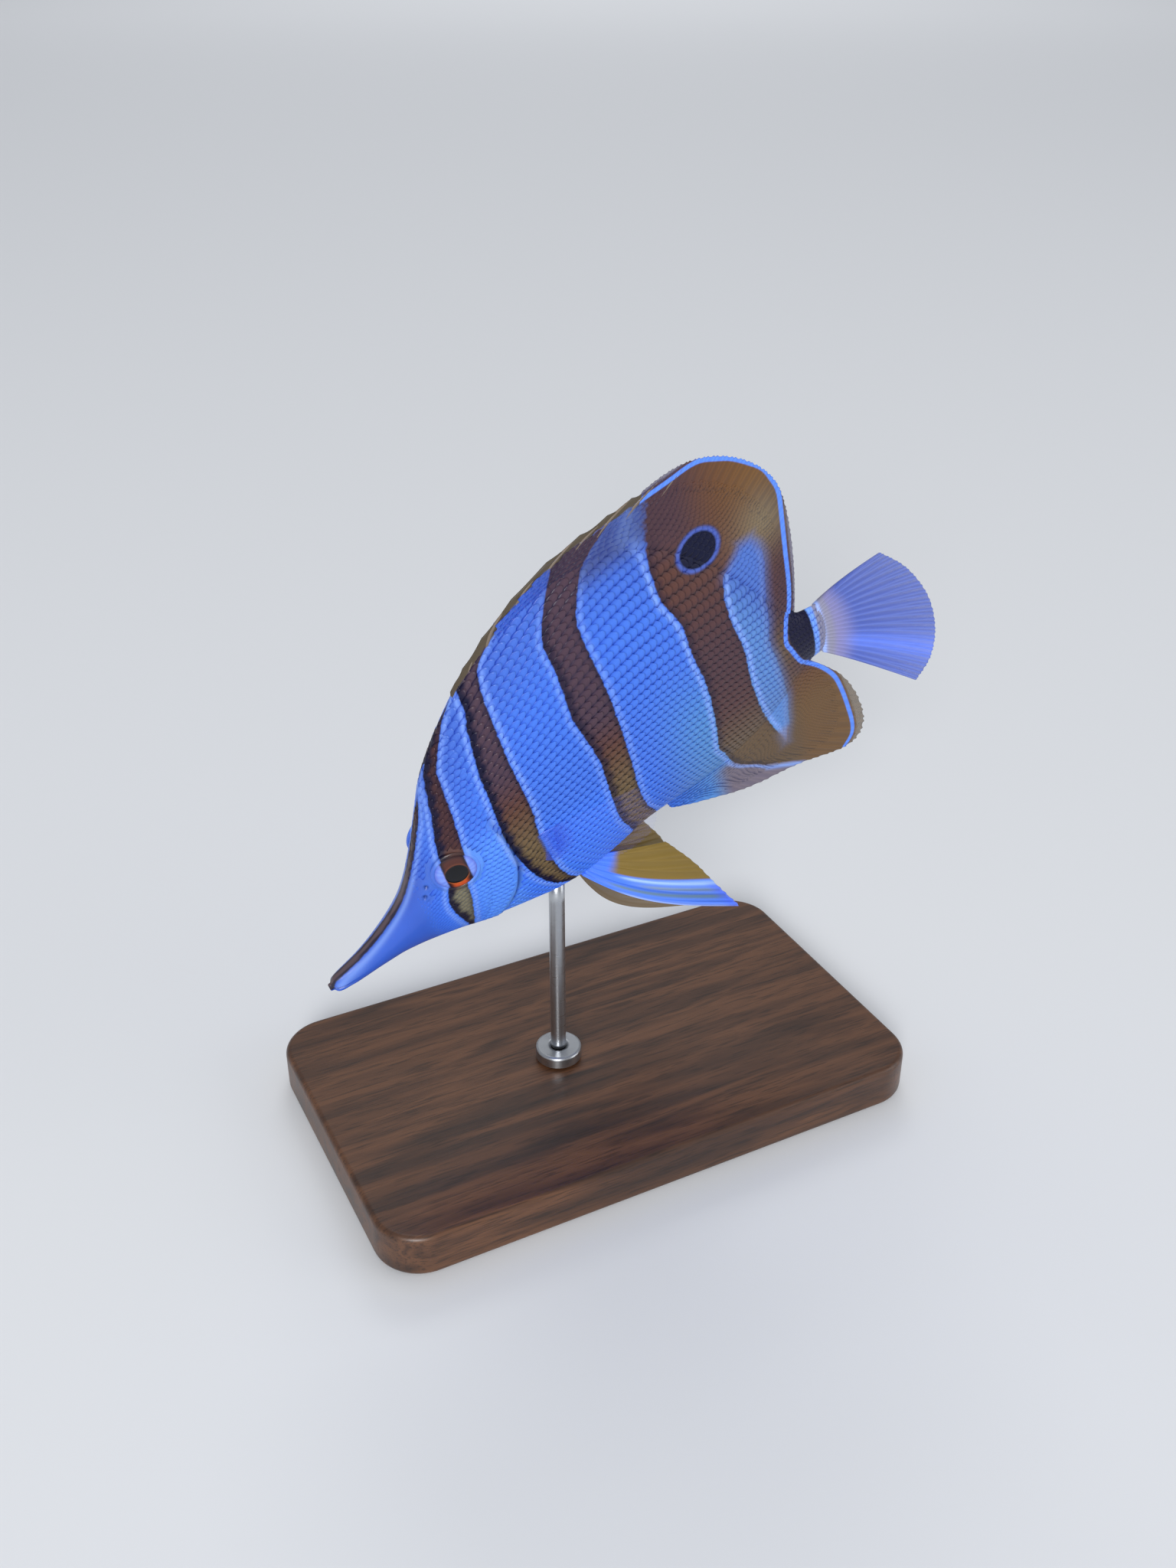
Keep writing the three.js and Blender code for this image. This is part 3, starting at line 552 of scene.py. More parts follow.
# Markings
def path_distance(path, x, y):
    """Distance to a path of straight steps, above 0 on its left."""
    best = np.full(x.shape, np.inf)
    sign = np.ones(x.shape)
    for (ax, ay), (bx, by) in zip(path[:-1], path[1:]):
        dx, dy = bx - ax, by - ay
        t = np.clip(((x - ax) * dx + (y - ay) * dy) / (dx * dx + dy * dy), 0, 1)
        far = np.hypot(x - ax - t * dx, y - ay - t * dy)
        nearer = far < best
        sign = np.where(nearer, np.sign(dx * (y - ay) - dy * (x - ax)), sign)
        best = np.where(nearer, far, best)
    return best * sign


def mixed(first, second, share):
    """From the first colour to the second by a share at each place."""
    return first + (np.asarray(second) - first) * share[..., None]


def washed(colour, looks, washes):
    """A colour with others laid over it in turn, each given by its name and its share at each place."""
    for name, share in washes:
        colour = mixed(colour, looks[name], share)
    return colour


EYE_EDGES, SECOND_EDGES, THIRD_EDGES = band_edges(EYE_BAND), band_edges(SECOND_BAND), band_edges(THIRD_BAND)
LENS_EDGES = band_edges(LENS)
rear_front_at, rear_foot_at = through(REAR_BAND_FRONT), through(REAR_BAND_FOOT)
LINE_PATH = along(PALE_LINE)(np.linspace(0, 1, 3 * len(PALE_LINE))).tolist()


def dark_bands(u, v, w, x, y):
    """The dark markings. Each has its depth, how far in from its front and rear edges, how dark those two
    edges are and how pale its outline. Also gives the depth in the lens and the softness of its border."""
    def inside(edges):
        """Distances in from a band's front and rear edge."""
        front, rear = edges
        return x - front(y), rear(y) - x

    eye, second, third, lens_sides = (
        inside(edges) for edges in (EYE_EDGES, SECOND_EDGES, THIRD_EDGES, LENS_EDGES)
    )
    lens = np.min([*lens_sides, y - LENS_HEIGHTS[0], LENS_HEIGHTS[1] - y], 0)
    nearer_rear = smooth((lens_sides[0] - lens_sides[1] + 0.4) / 1.6)
    lens_soft = np.maximum(smooth((y - 17.5) / 4.5), nearer_rear * 0.75)
    lens_soft = np.maximum(lens_soft, 0.6 * smooth((-13 - y) / 3)) * bell(lens / 2.4)
    rear = (x - rear_front_at(y)) * fading_up(y)
    foot = (y - rear_foot_at(x)) * 0.7
    on_ridge = np.where(v > widest_at(u), STRIPE_HALF - np.abs(w), -9)
    snout = on_ridge - 1.4 * smooth((u - 20) / 3)
    bands = (
        (np.min([*eye, y - EYE_BAND_HEIGHTS[0], EYE_BAND_HEIGHTS[1] - y], 0), *eye, 0.95, 0.6, 0.55),
        (np.minimum(*second), *second, 1.0, 0.75, 0.6),
        (np.minimum(*third), *third, 0.75, 0.7, 0.45),
        (np.min([rear, foot, -lens], 0), rear + 0.2, -lens + 3 * lens_soft, 0.55, 0.4, 0.8 - 0.8 * lens_soft),
        (snout, 2.6 * snout, snout, 0.85, 0.6, 0.5),
    )
    return bands, lens, lens_soft


def fading_up(y):
    """1 up to the foot of the soft back fin, and down to 0.2 at its margin."""
    return 1 - 0.8 * smooth((y - 26) / 9)


def mark_colour(u, x, y, looks):
    """Colour of the dark markings: copper brown, golden below and ochre in the fins' corners."""
    shaded_part = np.maximum(bell((y - 6) / 13), smooth((y - 24) / 8) * smooth((72 - x) / 7))
    return washed(looks["copper"] + np.zeros((*x.shape, 3)), looks, (
        ("olive", smooth((-4.2 - y) / 2) * (x < 26) * (u > 17)),
        ("gold", smooth((5 - y) / 13) * (x > 26) * (x < 60)),
        ("upper", 0.7 * smooth((y - 1) / 9) * (x > 27) * (x < 60)),
        ("rear_band", 0.75 * smooth((x - 58) / 3) * shaded_part),
        ("stripe", 0.8 * smooth((18 - x) / 2)),
        ("lobe", smooth((-3 - y) / 10) * (x >= 60)),
        ("eye_band", 0.8 * smooth((28.5 - x) / 1.5) * smooth((y - 1) / 3)),
        ("ochre", smooth((x - 64) / 15) * smooth((y - 20) / 13)),
        ("tan", bell((x - 77) / 4.5) * bell((y - 25) / 5)),
        ("ochre", 0.45 * smooth((x - 75) / 4) * smooth((-4 - y) / 2.5)),
        ("gold", 0.6 * bell((x - 76.5) / 2) * bell((y - 1) / 5)),
    ))


def ground_colour(u, v, x, y, lens, looks):
    """Colour of the ground: blue, paler at the breast, slaty beside the back fin and greener behind."""
    slaty = smooth((y - 27.5 - 0.1 * (x - 40)) / 5) * smooth((x - 42) / 10)
    return washed(looks["ground"] + np.zeros((*x.shape, 3)), looks, (
        ("breast", smooth((-1 - y) / 8) * smooth((58 - x) / 14)),
        ("rear", 0.9 * smooth((x - 52) / 11) * smooth((12 - y) / 18)),
        ("lens", smooth(lens + 0.5)),
        ("forehead", 0.7 * smooth((22 - x) / 8) * smooth((y - widest_at(u)) / 4)),
        ("cheek", smooth((x - 21.5) / 3) * smooth((31 - x) / 3) * smooth((4 - y) / 6)),
        ("snout", 0.8 * smooth((21 - x) / 7)),
        # Painted shade: the ground darkens up along the back, as where the back is turned from a low light
        ("painted_back_shade", 0.7 * smooth((v - back_at(u) + 12) / 12) * smooth((x - 19) / 4)),
        ("back", 0.9 * slaty),
        ("blush", smooth((x - 60.5) / 4) * smooth((-13 - y) / 2)),
    ))


def markings(place, looks):
    """The fish's colours at places (u, v, w): a ground and a marking colour, the depth inside the dark
    markings (below 0 outside), the distance from the pale line and from the rim of the eye spot."""
    u, v, w = np.moveaxis(place, -1, 0)
    cast = VIEWER[2] / (VIEWER[2] - np.abs(w))
    x, y = VIEWER[0] + (u - VIEWER[0]) * cast, VIEWER[1] + (v - VIEWER[1]) * cast
    line = path_distance(LINE_PATH, x, y)
    bands, lens, lens_soft = dark_bands(u, v, w, x, y)
    depth = np.max([band[0] for band in bands], 0)
    mark, ground = mark_colour(u, x, y, looks), ground_colour(u, v, x, y, lens, looks)
    # Dark, ragged edges and a pale outline
    ragged = 0.25 * np.sin(2.1 * y) + 0.15 * np.sin(5.3 * y + 1.7)
    dark, outline = np.zeros(x.shape), np.zeros(x.shape)
    for band, front, rear, front_dark, rear_dark, halo in bands:
        edges = np.maximum(front_dark * smooth((1.5 + ragged - front) / 0.9), rear_dark * bell(rear / 0.45))
        dark = np.maximum(dark, smooth(band + 1.2) * edges)
        outline = np.maximum(outline, halo * bell((band + 0.55) / 0.33))
    mark = mixed(mark, looks["edge"], np.clip(dark, 0, 1) * fading_up(y))
    ground = mixed(ground, looks["outline"], outline * fading_up(y))
    # The soft border of the lens runs from one colour into the other
    blend = smooth((lens + 1.7) / 3.4)
    pale = mixed(ground, looks["lens"], np.full(x.shape, 0.6))
    ground = mixed(ground, mark, (1 - blend) * lens_soft * (lens > -0.6))
    mark = mixed(mark, pale, blend * lens_soft)
    # Clear rim outside the pale line, the stalk's black bar, white line and pale root, and painted shade in
    # the creases
    on_trunk = smooth((back_at(u) + 0.3 - v) / 0.3) * smooth((v - belly_at(u) + 0.3) / 0.3)
    rim = mixed(looks["rim"] + np.zeros(place.shape), looks["gold"], smooth((-3 - y) / 2))
    bar = mixed(looks["edge"] + np.zeros(place.shape), looks["line"], smooth((u - BAR_END) / 0.15))
    bar = mixed(bar, looks["stalk"], smooth((u - BAR_END - 0.9) / 0.3))
    for colour, share in (
        (rim, (1 - on_trunk) * smooth((line - 0.5) / 0.4) * 0.85),
        (bar, on_trunk * smooth((line - 0.3) / 0.2) * (u > STALK_FROM)),
        # Painted shade in the creases
        (linear(CREASE_SHADE), creases(u, v) * 0.85),
    ):
        mark, ground = mixed(mark, colour, share), mixed(ground, colour, share)
    spot = np.hypot(x - SPOT_AT[0], (y - SPOT_AT[1]) * 0.94) - SPOT_RADIUS
    return {"ground": ground, "mark": mark, "depth": depth, "line": line, "spot": spot}


# Meshes
def grid_faces(rows, across, closed=False):
    """Quads over a grid of rows by points across, in the order that faces the way of row x across."""
    i, j = np.meshgrid(np.arange(rows - 1), np.arange(across if closed else across - 1), indexing="ij")
    after = (j + 1) % across
    corners = [i * across + j, (i + 1) * across + j, (i + 1) * across + after, i * across + after]
    return np.stack(corners, -1).reshape(-1, 4)


def slab_faces(rows, across):
    """Faces of a thin closed slab: a grid of points, the same grid behind it facing back, and quads round
    the rim."""
    face, size = grid_faces(rows, across), rows * across
    index = np.arange(size).reshape(rows, across)
    rim = np.concatenate([index[:-1, 0], index[-1, :-1], index[:0:-1, -1], index[0, :0:-1]])
    turn = np.roll(rim, -1)
    return np.concatenate([face, face[:, ::-1] + size, np.stack([rim, rim + size, turn + size, turn], -1)])


def capped_faces(rows, around):
    """Faces over closed rings of points, with a fan to a middle point at either end, the first ring's
    point first. They face the way of row x around."""
    faces = [list(face) for face in grid_faces(rows, around, closed=True)]
    middle, last = rows * around, (rows - 1) * around
    faces += [[middle, k, (k + 1) % around] for k in range(around)]
    faces += [[middle + 1, last + (k + 1) % around, last + k] for k in range(around)]
    return faces


def piece(name, vertices, faces, finish, slot, replaces=(), values=None, uv=None):
    """A mesh object at the origin from places in metres, of the finish of that name, that rides on the
    body. values are point attributes."""
    mesh = bpy.data.meshes.new(name)
    mesh.from_pydata(np.asarray(vertices).tolist(), [], [list(face) for face in faces])
    mesh.polygons.foreach_set("use_smooth", np.ones(len(mesh.polygons), bool))
    for key, value in (values or {}).items():
        flat = np.asarray(value, np.float32)
        if flat.ndim == 2:
            layer = mesh.attributes.new(key, "FLOAT_COLOR", "POINT")
            layer.data.foreach_set("color", np.column_stack([flat, np.ones(len(flat), np.float32)]).ravel())
        else:
            mesh.attributes.new(key, "FLOAT", "POINT").data.foreach_set("value", flat)
    if uv is not None:
        corners = np.empty(len(mesh.loops), int)
        mesh.loops.foreach_get("vertex_index", corners)
        layer = mesh.uv_layers.new(name="OFBake")
        layer.data.foreach_set("uv", np.asarray(uv, np.float32)[corners].ravel())
    mesh.materials.append(finish_named(finish))
    mesh.update()
    made = bpy.data.objects.new(name, mesh)
    bpy.context.scene.collection.objects.link(made)
    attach(made, "root")
    if replaces:
        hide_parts(*replaces)
    return made


def joined(parts):
    """Several (places, faces, values) as one."""
    count, faces = 0, []
    for places, quads, _ in parts:
        faces.extend((np.asarray(face) + count for face in quads))
        count += len(places)
    values = {key: np.concatenate([part[2][key] for part in parts]) for key in parts[0][2]}
    return np.concatenate([part[0] for part in parts]), faces, values


def sheet(place, half, count, rows):
    """A thin closed sheet: the grid place(s, t) moved out by half(s, t) percent to both faces, and a rim
    of quads. Returns places, faces and the s and t of each place."""
    s, t = np.meshgrid(np.linspace(0, 1, count), np.linspace(0, 1, rows), indexing="ij")
    step = 1e-3
    ahead = place(np.minimum(s + step, 1), t) - place(np.maximum(s - step, 0), t)
    upward = place(s, np.minimum(t + step, 1)) - place(s, np.maximum(t - step, 0))
    out = np.cross(ahead, upward)
    out /= np.linalg.norm(out, axis=-1, keepdims=True) + 1e-12
    middle, thick = place(s, t), half(s, t)[..., None]
    places = np.concatenate([(middle + out * thick).reshape(-1, 3), (middle - out * thick).reshape(-1, 3)])
    return places, slab_faces(count, rows), np.tile(s.ravel(), 2), np.tile(t.ravel(), 2)


def tube(path, radii, sides):
    """A closed tapering tube: a ring of cos and sin times the radius about each point of a path, in
    percent."""
    path = np.asarray(path, float)
    ahead = np.gradient(path, axis=0)
    ahead /= np.linalg.norm(ahead, axis=1, keepdims=True)
    across = np.cross(ahead, [0, 0, 1.0])
    across /= np.linalg.norm(across, axis=1, keepdims=True)
    beside = np.cross(ahead, across)
    turn = np.linspace(0, 2 * math.pi, sides, endpoint=False)
    rings = path[:, None] + np.asarray(radii)[:, None, None] * (
        across[:, None] * np.cos(turn)[None, :, None] + beside[:, None] * np.sin(turn)[None, :, None]
    )
    places = np.concatenate([rings.reshape(-1, 3), path[:1], path[-1:]])
    return places, [face[::-1] for face in capped_faces(len(path), sides)]


# Fin rays
def rays_at(s, t, rays, fork_from=0.45, width=0.2):
    """Height of the rays, 0 to 1: a bell over each ray, which parts into two branches past fork_from."""
    phase = s * rays % 1 - 0.5
    fork = 0.2 * smooth((t - fork_from) / (1 - fork_from))
    narrow = width * (1 - 0.45 * t)
    return np.maximum(bell((phase - fork) / narrow), bell((phase + fork) / narrow))


def fin_half(root, rays, ridge, scaled=0.0, **ray_form):
    """Half thickness of a fin in percent: root to margin, raised on the rays beyond its scaled foot."""
    def half(s, t):
        web = root + (0.09 - root) * np.clip(t, 0, 1) ** 0.6
        bare_share = smooth((t - scaled + 0.25) / 0.4) if scaled else 1
        return (web + ridge * (1 - 0.6 * t) * bare_share * rays_at(s, t, rays, **ray_form)) / PERCENT
    return half


def median_place(base, edge_at, sunk, margin, scallop=0.0, rays=1):
    """A fin in the middle plane: from u along the base, sunk into the trunk, straight to the margin curve."""
    margin_at = along(margin)

    def place(s, t):
        u = base[0] + (base[1] - base[0]) * s
        end = margin_at(s)
        reach = t * (1 - scallop * (1 - rays_at(s, np.ones(s.shape), rays)))
        root = edge_at(u) + sunk
        return columns(u + (end[..., 0] - u) * reach, root + (end[..., 1] - root) * reach, 0 * s)
    return place


def spread_place(root, tips, bow=(0, 0, 0), sweep=1.0, scallop=0.0, rays=1):
    """A fin of rays from a straight root to tips in space, bowed by (1 - s) sin(pi t) and leaving the
    middle plane by t to the power of sweep."""
    tip_at = along(tips)
    front, rear = (np.array(end, float) for end in root)

    def place(s, t):
        start = front + (rear - front) * s[..., None]
        end = tip_at(s)
        reach = t * (1 - scallop * (1 - rays_at(s, np.ones(s.shape), rays)))
        spread = start + (end - start) * reach[..., None]
        spread[..., 2] = start[..., 2] + (end - start)[..., 2] * np.clip(reach, 0, None) ** sweep
        return spread + np.array(bow) * ((1 - s) * np.sin(math.pi * t))[..., None]
    return place


def spiny_half(s, t):
    """Half thickness of the web between the back spines, in percent: 0.75 mm at its root and 0.12 mm at its
    margin, by t^0.8."""
    return (0.75 - 0.63 * t ** 0.8) / PERCENT


SOFT_HALF = fin_half(FIN_ROOT_HALF, SOFT_RAYS, SOFT_RIDGE, SCALED)
ANAL_HALF = fin_half(FIN_ROOT_HALF, ANAL_RAYS, ANAL_RIDGE, SCALED)


# Materials
def attribute(tree, name, output="Fac"):
    """Socket of a point attribute: its number, or its colour with output Color."""
    return node(tree, "Attribute", {"attribute_name": name}).outputs[output]


def own_place(tree):
    """Socket of the place in the piece's own metres, so that patterns keep their real size."""
    return node(tree, "TexCoord").outputs["Object"]


def noise(tree, place, scale, detail, **more):
    """Socket of smooth noise with scale waves per metre."""
    settings = {"Scale": scale, "Detail": detail, **more}
    return node(tree, "TexNoise", settings, {"Vector": place}).outputs["Fac"]


def stretched(tree, place, scale):
    """Socket of a place times a scale along each axis, in waves per metre."""
    return node(tree, "Mapping", {"Scale": scale}, {"Vector": place}).outputs[0]


def in_range(tree, value, settings):
    """Socket of a number taken from one range to another."""
    return node(tree, "MapRange", settings, {"Value": value}).outputs[0]


def stepped(tree, value, start, end):
    """Socket of a smooth step, 0 where the value is start and 1 where it is end."""
    return in_range(tree, value, {"interpolation_type": "SMOOTHSTEP", "From Min": start, "From Max": end})


def blended(tree, share, first, second):
    """Socket of a blend from the first colour to the second."""
    return node(tree, "Mix", {"data_type": "RGBA"}, {0: share, 6: first, 7: second}).outputs[2]


def multiplied(tree, first, second):
    """Socket of one colour times another colour or a number."""
    settings = {"data_type": "RGBA", "blend_type": "MULTIPLY", 0: 1.0}
    return node(tree, "Mix", settings, {6: first, 7: second}).outputs[2]


def bumped(tree, height, strength, distance):
    """Socket of a surface direction that follows a height."""
    settings = {"Strength": strength, "Distance": distance}
    return node(tree, "Bump", settings, {"Height": height}).outputs[0]


def painted(tree, coarse):
    """Nodes for the fish's markings from its attributes: ground and marking with a crisp, slightly
    wavering border, the pale line and the eye spot. Returns the colour's socket."""
    waver = noise(tree, own_place(tree), 900.0, 2.0)
    shift = node(tree, "Math", {
        "operation": "MULTIPLY_ADD", 1: 0.5 * coarse, 2: -0.25 * coarse,
    }, {0: waver})
    depth = node(tree, "Math", {"operation": "ADD"}, {0: attribute(tree, "depth"), 1: shift.outputs[0]})
    marked = stepped(tree, depth.outputs[0], -BORDER_HALF, BORDER_HALF)
    base = blended(tree, marked, attribute(tree, "ground", "Color"), attribute(tree, "mark", "Color"))
    off_line = node(tree, "Math", {"operation": "ABSOLUTE"}, {0: attribute(tree, "line")})
    on_line = stepped(tree, off_line.outputs[0], PALE_LINE_HALF + BORDER_HALF, PALE_LINE_HALF - BORDER_HALF)
    lined = node(tree, "Mix", {"data_type": "RGBA", 7: (*linear(PALE_LINE_COLOUR), 1)}, {0: on_line, 6: base})
    spot = attribute(tree, "spot")
    spot_share = in_range(tree, spot, {"From Min": -0.2, "From Max": 1.4})
    spot_colour = node(tree, "ValToRGB", {"ramp": SPOT_RAMP}, {0: spot_share})
    return blended(tree, stepped(tree, spot, 1.3, 0.6), lined.outputs[2], spot_colour.outputs["Color"])


def shaded(tree, colour):
    """The colour times the tint that the attribute tone picks, from blue shadow at 0 to white at 1."""
    tint = node(tree, "ValToRGB", {"ramp": SHADE_RAMP}, {0: attribute(tree, "painted_shading")})
    return multiplied(tree, colour, tint.outputs["Color"])


def opacity(tree, clearness):
    """Socket of a fin's opacity: 1 where the attribute clear is 0, and less by clearness where it is 1."""
    return in_range(tree, attribute(tree, "clear"), {"To Min": 1.0, "To Max": 1.0 - clearness})


def scaled_skin():
    """Wet fish skin: soft gloss with a thin clear coat of slime; fine noise of 0.3 mm stands for the
    skin's grain, and broad noise of 5 to 6 mm clouds its colour and darkens it by 2 to 18 percent: partly
    uneven tone, partly painted shade that matches the shaded scales and the gaps between them."""
    made, tree = material("fish skin, wet and pearly")
    place = own_place(tree)
    grain = noise(tree, place, 1 / 0.0003, 3.0)
    # Uneven tone and painted shade: broad noise darkens the skin by 2 to 18 percent
    cloud_and_painted_shade = in_range(tree, noise(tree, place, 180.0, 3.0), {"To Min": 0.82, "To Max": 0.98})
    principled(tree, {
        "Roughness": 0.4, "IOR": 1.38, "Coat Weight": 0.25, "Coat Roughness": 0.18,
        "Subsurface Weight": 0.06, "Subsurface Scale": 0.001,
    }, {
        "Base Color": multiplied(tree, painted(tree, 0.5), cloud_and_painted_shade),
        "Normal": bumped(tree, grain, 0.12, 0.0001),
    })
    return made


def pearly_scales():
    """Fish scales: thin horny plates over silvery pigment, with painted shade that leaves them brighter along
    the middle and darker at the borders."""
    made, tree = material("fish scales, thin and pearly")
    principled(tree, {
        "Roughness": 0.4, "Specular IOR Level": 0.16, "Coat Weight": 0.07, "Coat Roughness": 0.16,
    }, {"Base Color": shaded(tree, painted(tree, 1.0))})
    return made


def fin_membrane(name, clearness):
    """Fin: thin skin over horny rays, opaque where scales and pigment run out on it and clear at the
    margin."""
    made, tree = material(name)
    principled(tree, {
        "Roughness": 0.42, "Specular IOR Level": 0.18, "Coat Weight": 0.06, "Coat Roughness": 0.2,
    }, {"Base Color": shaded(tree, painted(tree, 0.5)), "Alpha": opacity(tree, clearness)})
    return made


def plain_membrane(name, clearness):
    """Clear fin: a membrane with its own colour at each point, see-through between the rays."""
    made, tree = material(name)
    principled(tree, {
        "Roughness": 0.35, "IOR": 1.4, "Coat Weight": 0.2, "Coat Roughness": 0.15,
    }, {"Base Color": attribute(tree, "ground", "Color"), "Alpha": opacity(tree, clearness)})
    return made


def glass_eye():
    """Eye: pigment under a clear wet cornea, which gives a sharp highlight over a satin iris."""
    made, tree = material("eye, clear cornea over pigment")
    principled(tree, {
        "Roughness": 0.45, "IOR": 1.2, "Coat Weight": 1.0, "Coat Roughness": 0.02, "Coat IOR": 1.34,
    }, {"Base Color": attribute(tree, "ground", "Color")})
    return made


def oiled_walnut():
    """Walnut, planed and oiled: long straight grain 4 mm apart, short dark pores 0.4 mm apart, a low satin
    gloss."""
    made, tree = material("walnut, planed and oiled")
    place = own_place(tree)
    grain = noise(tree, stretched(tree, place, (22.0, 260.0, 260.0)), 1.0, 6.0, Distortion=0.6)
    pores = noise(tree, stretched(tree, place, (160.0, 2600.0, 2600.0)), 1.0, 2.0)
    colour = node(tree, "ValToRGB", {"ramp": WALNUT_RAMP}, {0: grain})
    pore_share = in_range(tree, pores, {"From Min": 0.36, "From Max": 0.46, "To Min": 0.55, "To Max": 1.0})
    principled(tree, {"IOR": 1.5, "Coat Weight": 0.15, "Coat Roughness": 0.3}, {
        "Base Color": multiplied(tree, colour.outputs["Color"], pore_share),
        "Roughness": in_range(tree, grain, {"To Min": 0.34, "To Max": 0.5}),
        "Normal": bumped(tree, pores, 0.25, 0.0001),
    })
    return made


def brushed_steel():
    """Stainless steel, brushed round: fine scratches 0.2 mm apart along the rod's height vary the gloss."""
    made, tree = material("stainless steel, brushed")
    scratch = noise(tree, stretched(tree, own_place(tree), (300.0, 300.0, 5000.0)), 1.0, 3.0)
    principled(tree, {"Base Color": (*linear(STEEL_COLOUR), 1), "Metallic": 1.0}, {
        "Roughness": in_range(tree, scratch, {"To Min": 0.2, "To Max": 0.42}),
        "Normal": bumped(tree, scratch, 0.15, 0.00005),
    })
    return made


def pale_floor():
    """Floor: matt pale card."""
    made, tree = material("card, matt and pale")
    principled(tree, {"Base Color": (*linear(CARD_COLOUR), 1), "Roughness": 0.9})
    return made


FINISHES = {
    "skin": scaled_skin,
    "scales": pearly_scales,
    "eye": glass_eye,
    "spiny": lambda: fin_membrane("spiny fin, horny spines in a thick web", 0.4),
    "soft": lambda: fin_membrane("soft fin, scaled web over forked rays", 0.45),
    "clear": lambda: plain_membrane("clear fin, thin web over pale rays", 0.48),
    "side": lambda: plain_membrane("side fin, glass clear web", 0.988),
    "pelvic": lambda: plain_membrane("belly fin, thick web", 0.3),
    "wood": oiled_walnut,
    "steel": brushed_steel,
    "floor": pale_floor,
}
MADE = {}


def finish_named(name):
    """The material of that name, made on first use."""
    if name not in MADE:
        MADE[name] = FINISHES[name]()
    return MADE[name]


# Settings a user would change
def colour_setting(label, note, default):
    """A colour in the panel, set by its sRGB hex value."""
    return bpy.props.StringProperty(name=label, description=note + ", as an sRGB hex value", default=default)


class FishColours(bpy.types.PropertyGroup):
    """Colours of the skin, scales and fins"""
    ground: colour_setting("Ground", "Blue ground between the bands", "#4576de")
    breast: colour_setting("Breast", "Ground on the throat and breast", "#4a85f8")
    rear: colour_setting("Rear", "Ground behind the third band", "#5590cc")
    back: colour_setting("Back", "Ground beside the back fin", "#434f82")
    lens: colour_setting("Lens", "Pale patch between the fourth band and the tail", "#5b88ca")
    forehead: colour_setting("Forehead", "Ground on the snout's upper side", "#425eb8")
    cheek: colour_setting("Cheek", "Ground on cheek and gill cover", "#5a94f6")
    snout: colour_setting("Snout", "Ground on the snout", "#3054be")
    # Painted shade: darker ground up along the back
    painted_back_shade: colour_setting("Shoulder", "Ground along the back", "#4464bc")
    blush: colour_setting("Blush", "Front edge of the anal fin", "#766c78")
    outline: colour_setting("Outline", "Bright outline of the bands", "#8aaef6")
    copper: colour_setting("Copper", "Bands", "#5c3a30")
    upper: colour_setting("Upper bands", "Second and third band towards the back", "#43384c")
    rear_band: colour_setting("Rear band", "Fourth band at mid height", "#48343f")
    stripe: colour_setting("Stripe", "Stripe along the snout", "#5c5058")
    eye_band: colour_setting("Eye band", "Eye band above the eye", "#40282e")
    gold: colour_setting("Gold", "Lower ends of the bands", "#6f5c40")
    lobe: colour_setting("Lobe", "Fourth band's foot on the anal fin", "#64503a")
    ochre: colour_setting("Ochre", "Rear corners of the fins", "#785328")
    tan: colour_setting("Tan", "Soft back fin above the lens", "#857459")
    olive: colour_setting("Olive", "Eye band below the eye", "#7c7660")
    edge: colour_setting("Edge", "Dark edges of the bands", "#0f0e2c")
    line: colour_setting("Line", "Pale line along the fins", "#74a2f6")
    rim: colour_setting("Rim", "Clear rim of the soft back fin", "#67617e")
    stalk: colour_setting("Tail stalk", "Skin at the root of the tail fin", "#8b8aa2")
    web: colour_setting("Web", "Web between the back spines", "#544a3c")
    spine: colour_setting("Spine", "Back spines", "#74675a")


class FishSizes(bpy.types.PropertyGroup):
    """Sizes of the scales"""
    scale_pitch: bpy.props.FloatProperty(
        name="Scale pitch",
        description="Distance from one body scale to the next along its row, in millimetres",
        default=1.32, min=0.8, max=4, unit="NONE",
    )
    row_pitch: bpy.props.FloatProperty(
        name="Row pitch", description="Distance between rows of body scales, in millimetres",
        default=1.42, min=0.8, max=4, unit="NONE",
    )
    scale_rise: bpy.props.FloatProperty(
        name="Scale rise", description="Height of a body scale's free edge over the skin, in millimetres",
        default=0.2, min=0.02, max=0.6, unit="NONE",
    )


class StageSettings(bpy.types.PropertyGroup):
    """Camera and light"""
    azimuth: bpy.props.FloatProperty(
        name="Azimuth", description="Side the camera looks from", default=math.radians(-27), subtype="ANGLE",
    )
    elevation: bpy.props.FloatProperty(
        name="Elevation", description="Height of the camera's look above the horizon",
        default=math.radians(30), subtype="ANGLE",
    )
    lens: bpy.props.FloatProperty(
        name="Lens", description="Focal length on a 36 mm long side", default=35.16, unit="CAMERA",
    )
    light: bpy.props.FloatProperty(
        name="Light", description="Strength of the softboxes", default=1.0, min=0, max=10, subtype="FACTOR",
    )


def colours():
    """The colours set in the panel, made linear."""
    settings = bpy.context.scene.fish_colours
    return {key: linear(getattr(settings, key)) for key in FishColours.__annotations__}


# Skin
SKIN_STATIONS = 392
SKIN_AROUND = 248
HEAD_SHARE = 0.5
HEAD_END = 31.0
LIP_ROLL = 0.46
LIP_STEPS = np.radians([168, 150, 128, 106, 84, 62, 40, 20])
MOUTH_DEPTH = 0.9


def skin_stations():
    """Stations along the trunk: half of them over the head, where the forms are small, and the rest
    behind."""
    share = np.linspace(0, 1, SKIN_STATIONS)
    head = HEAD_END * (share / HEAD_SHARE) ** 1.05
    body = HEAD_END + (TRUNK_END - HEAD_END) * (share - HEAD_SHARE) / (1 - HEAD_SHARE)
    return np.where(share < HEAD_SHARE, np.minimum(head, HEAD_END), body)


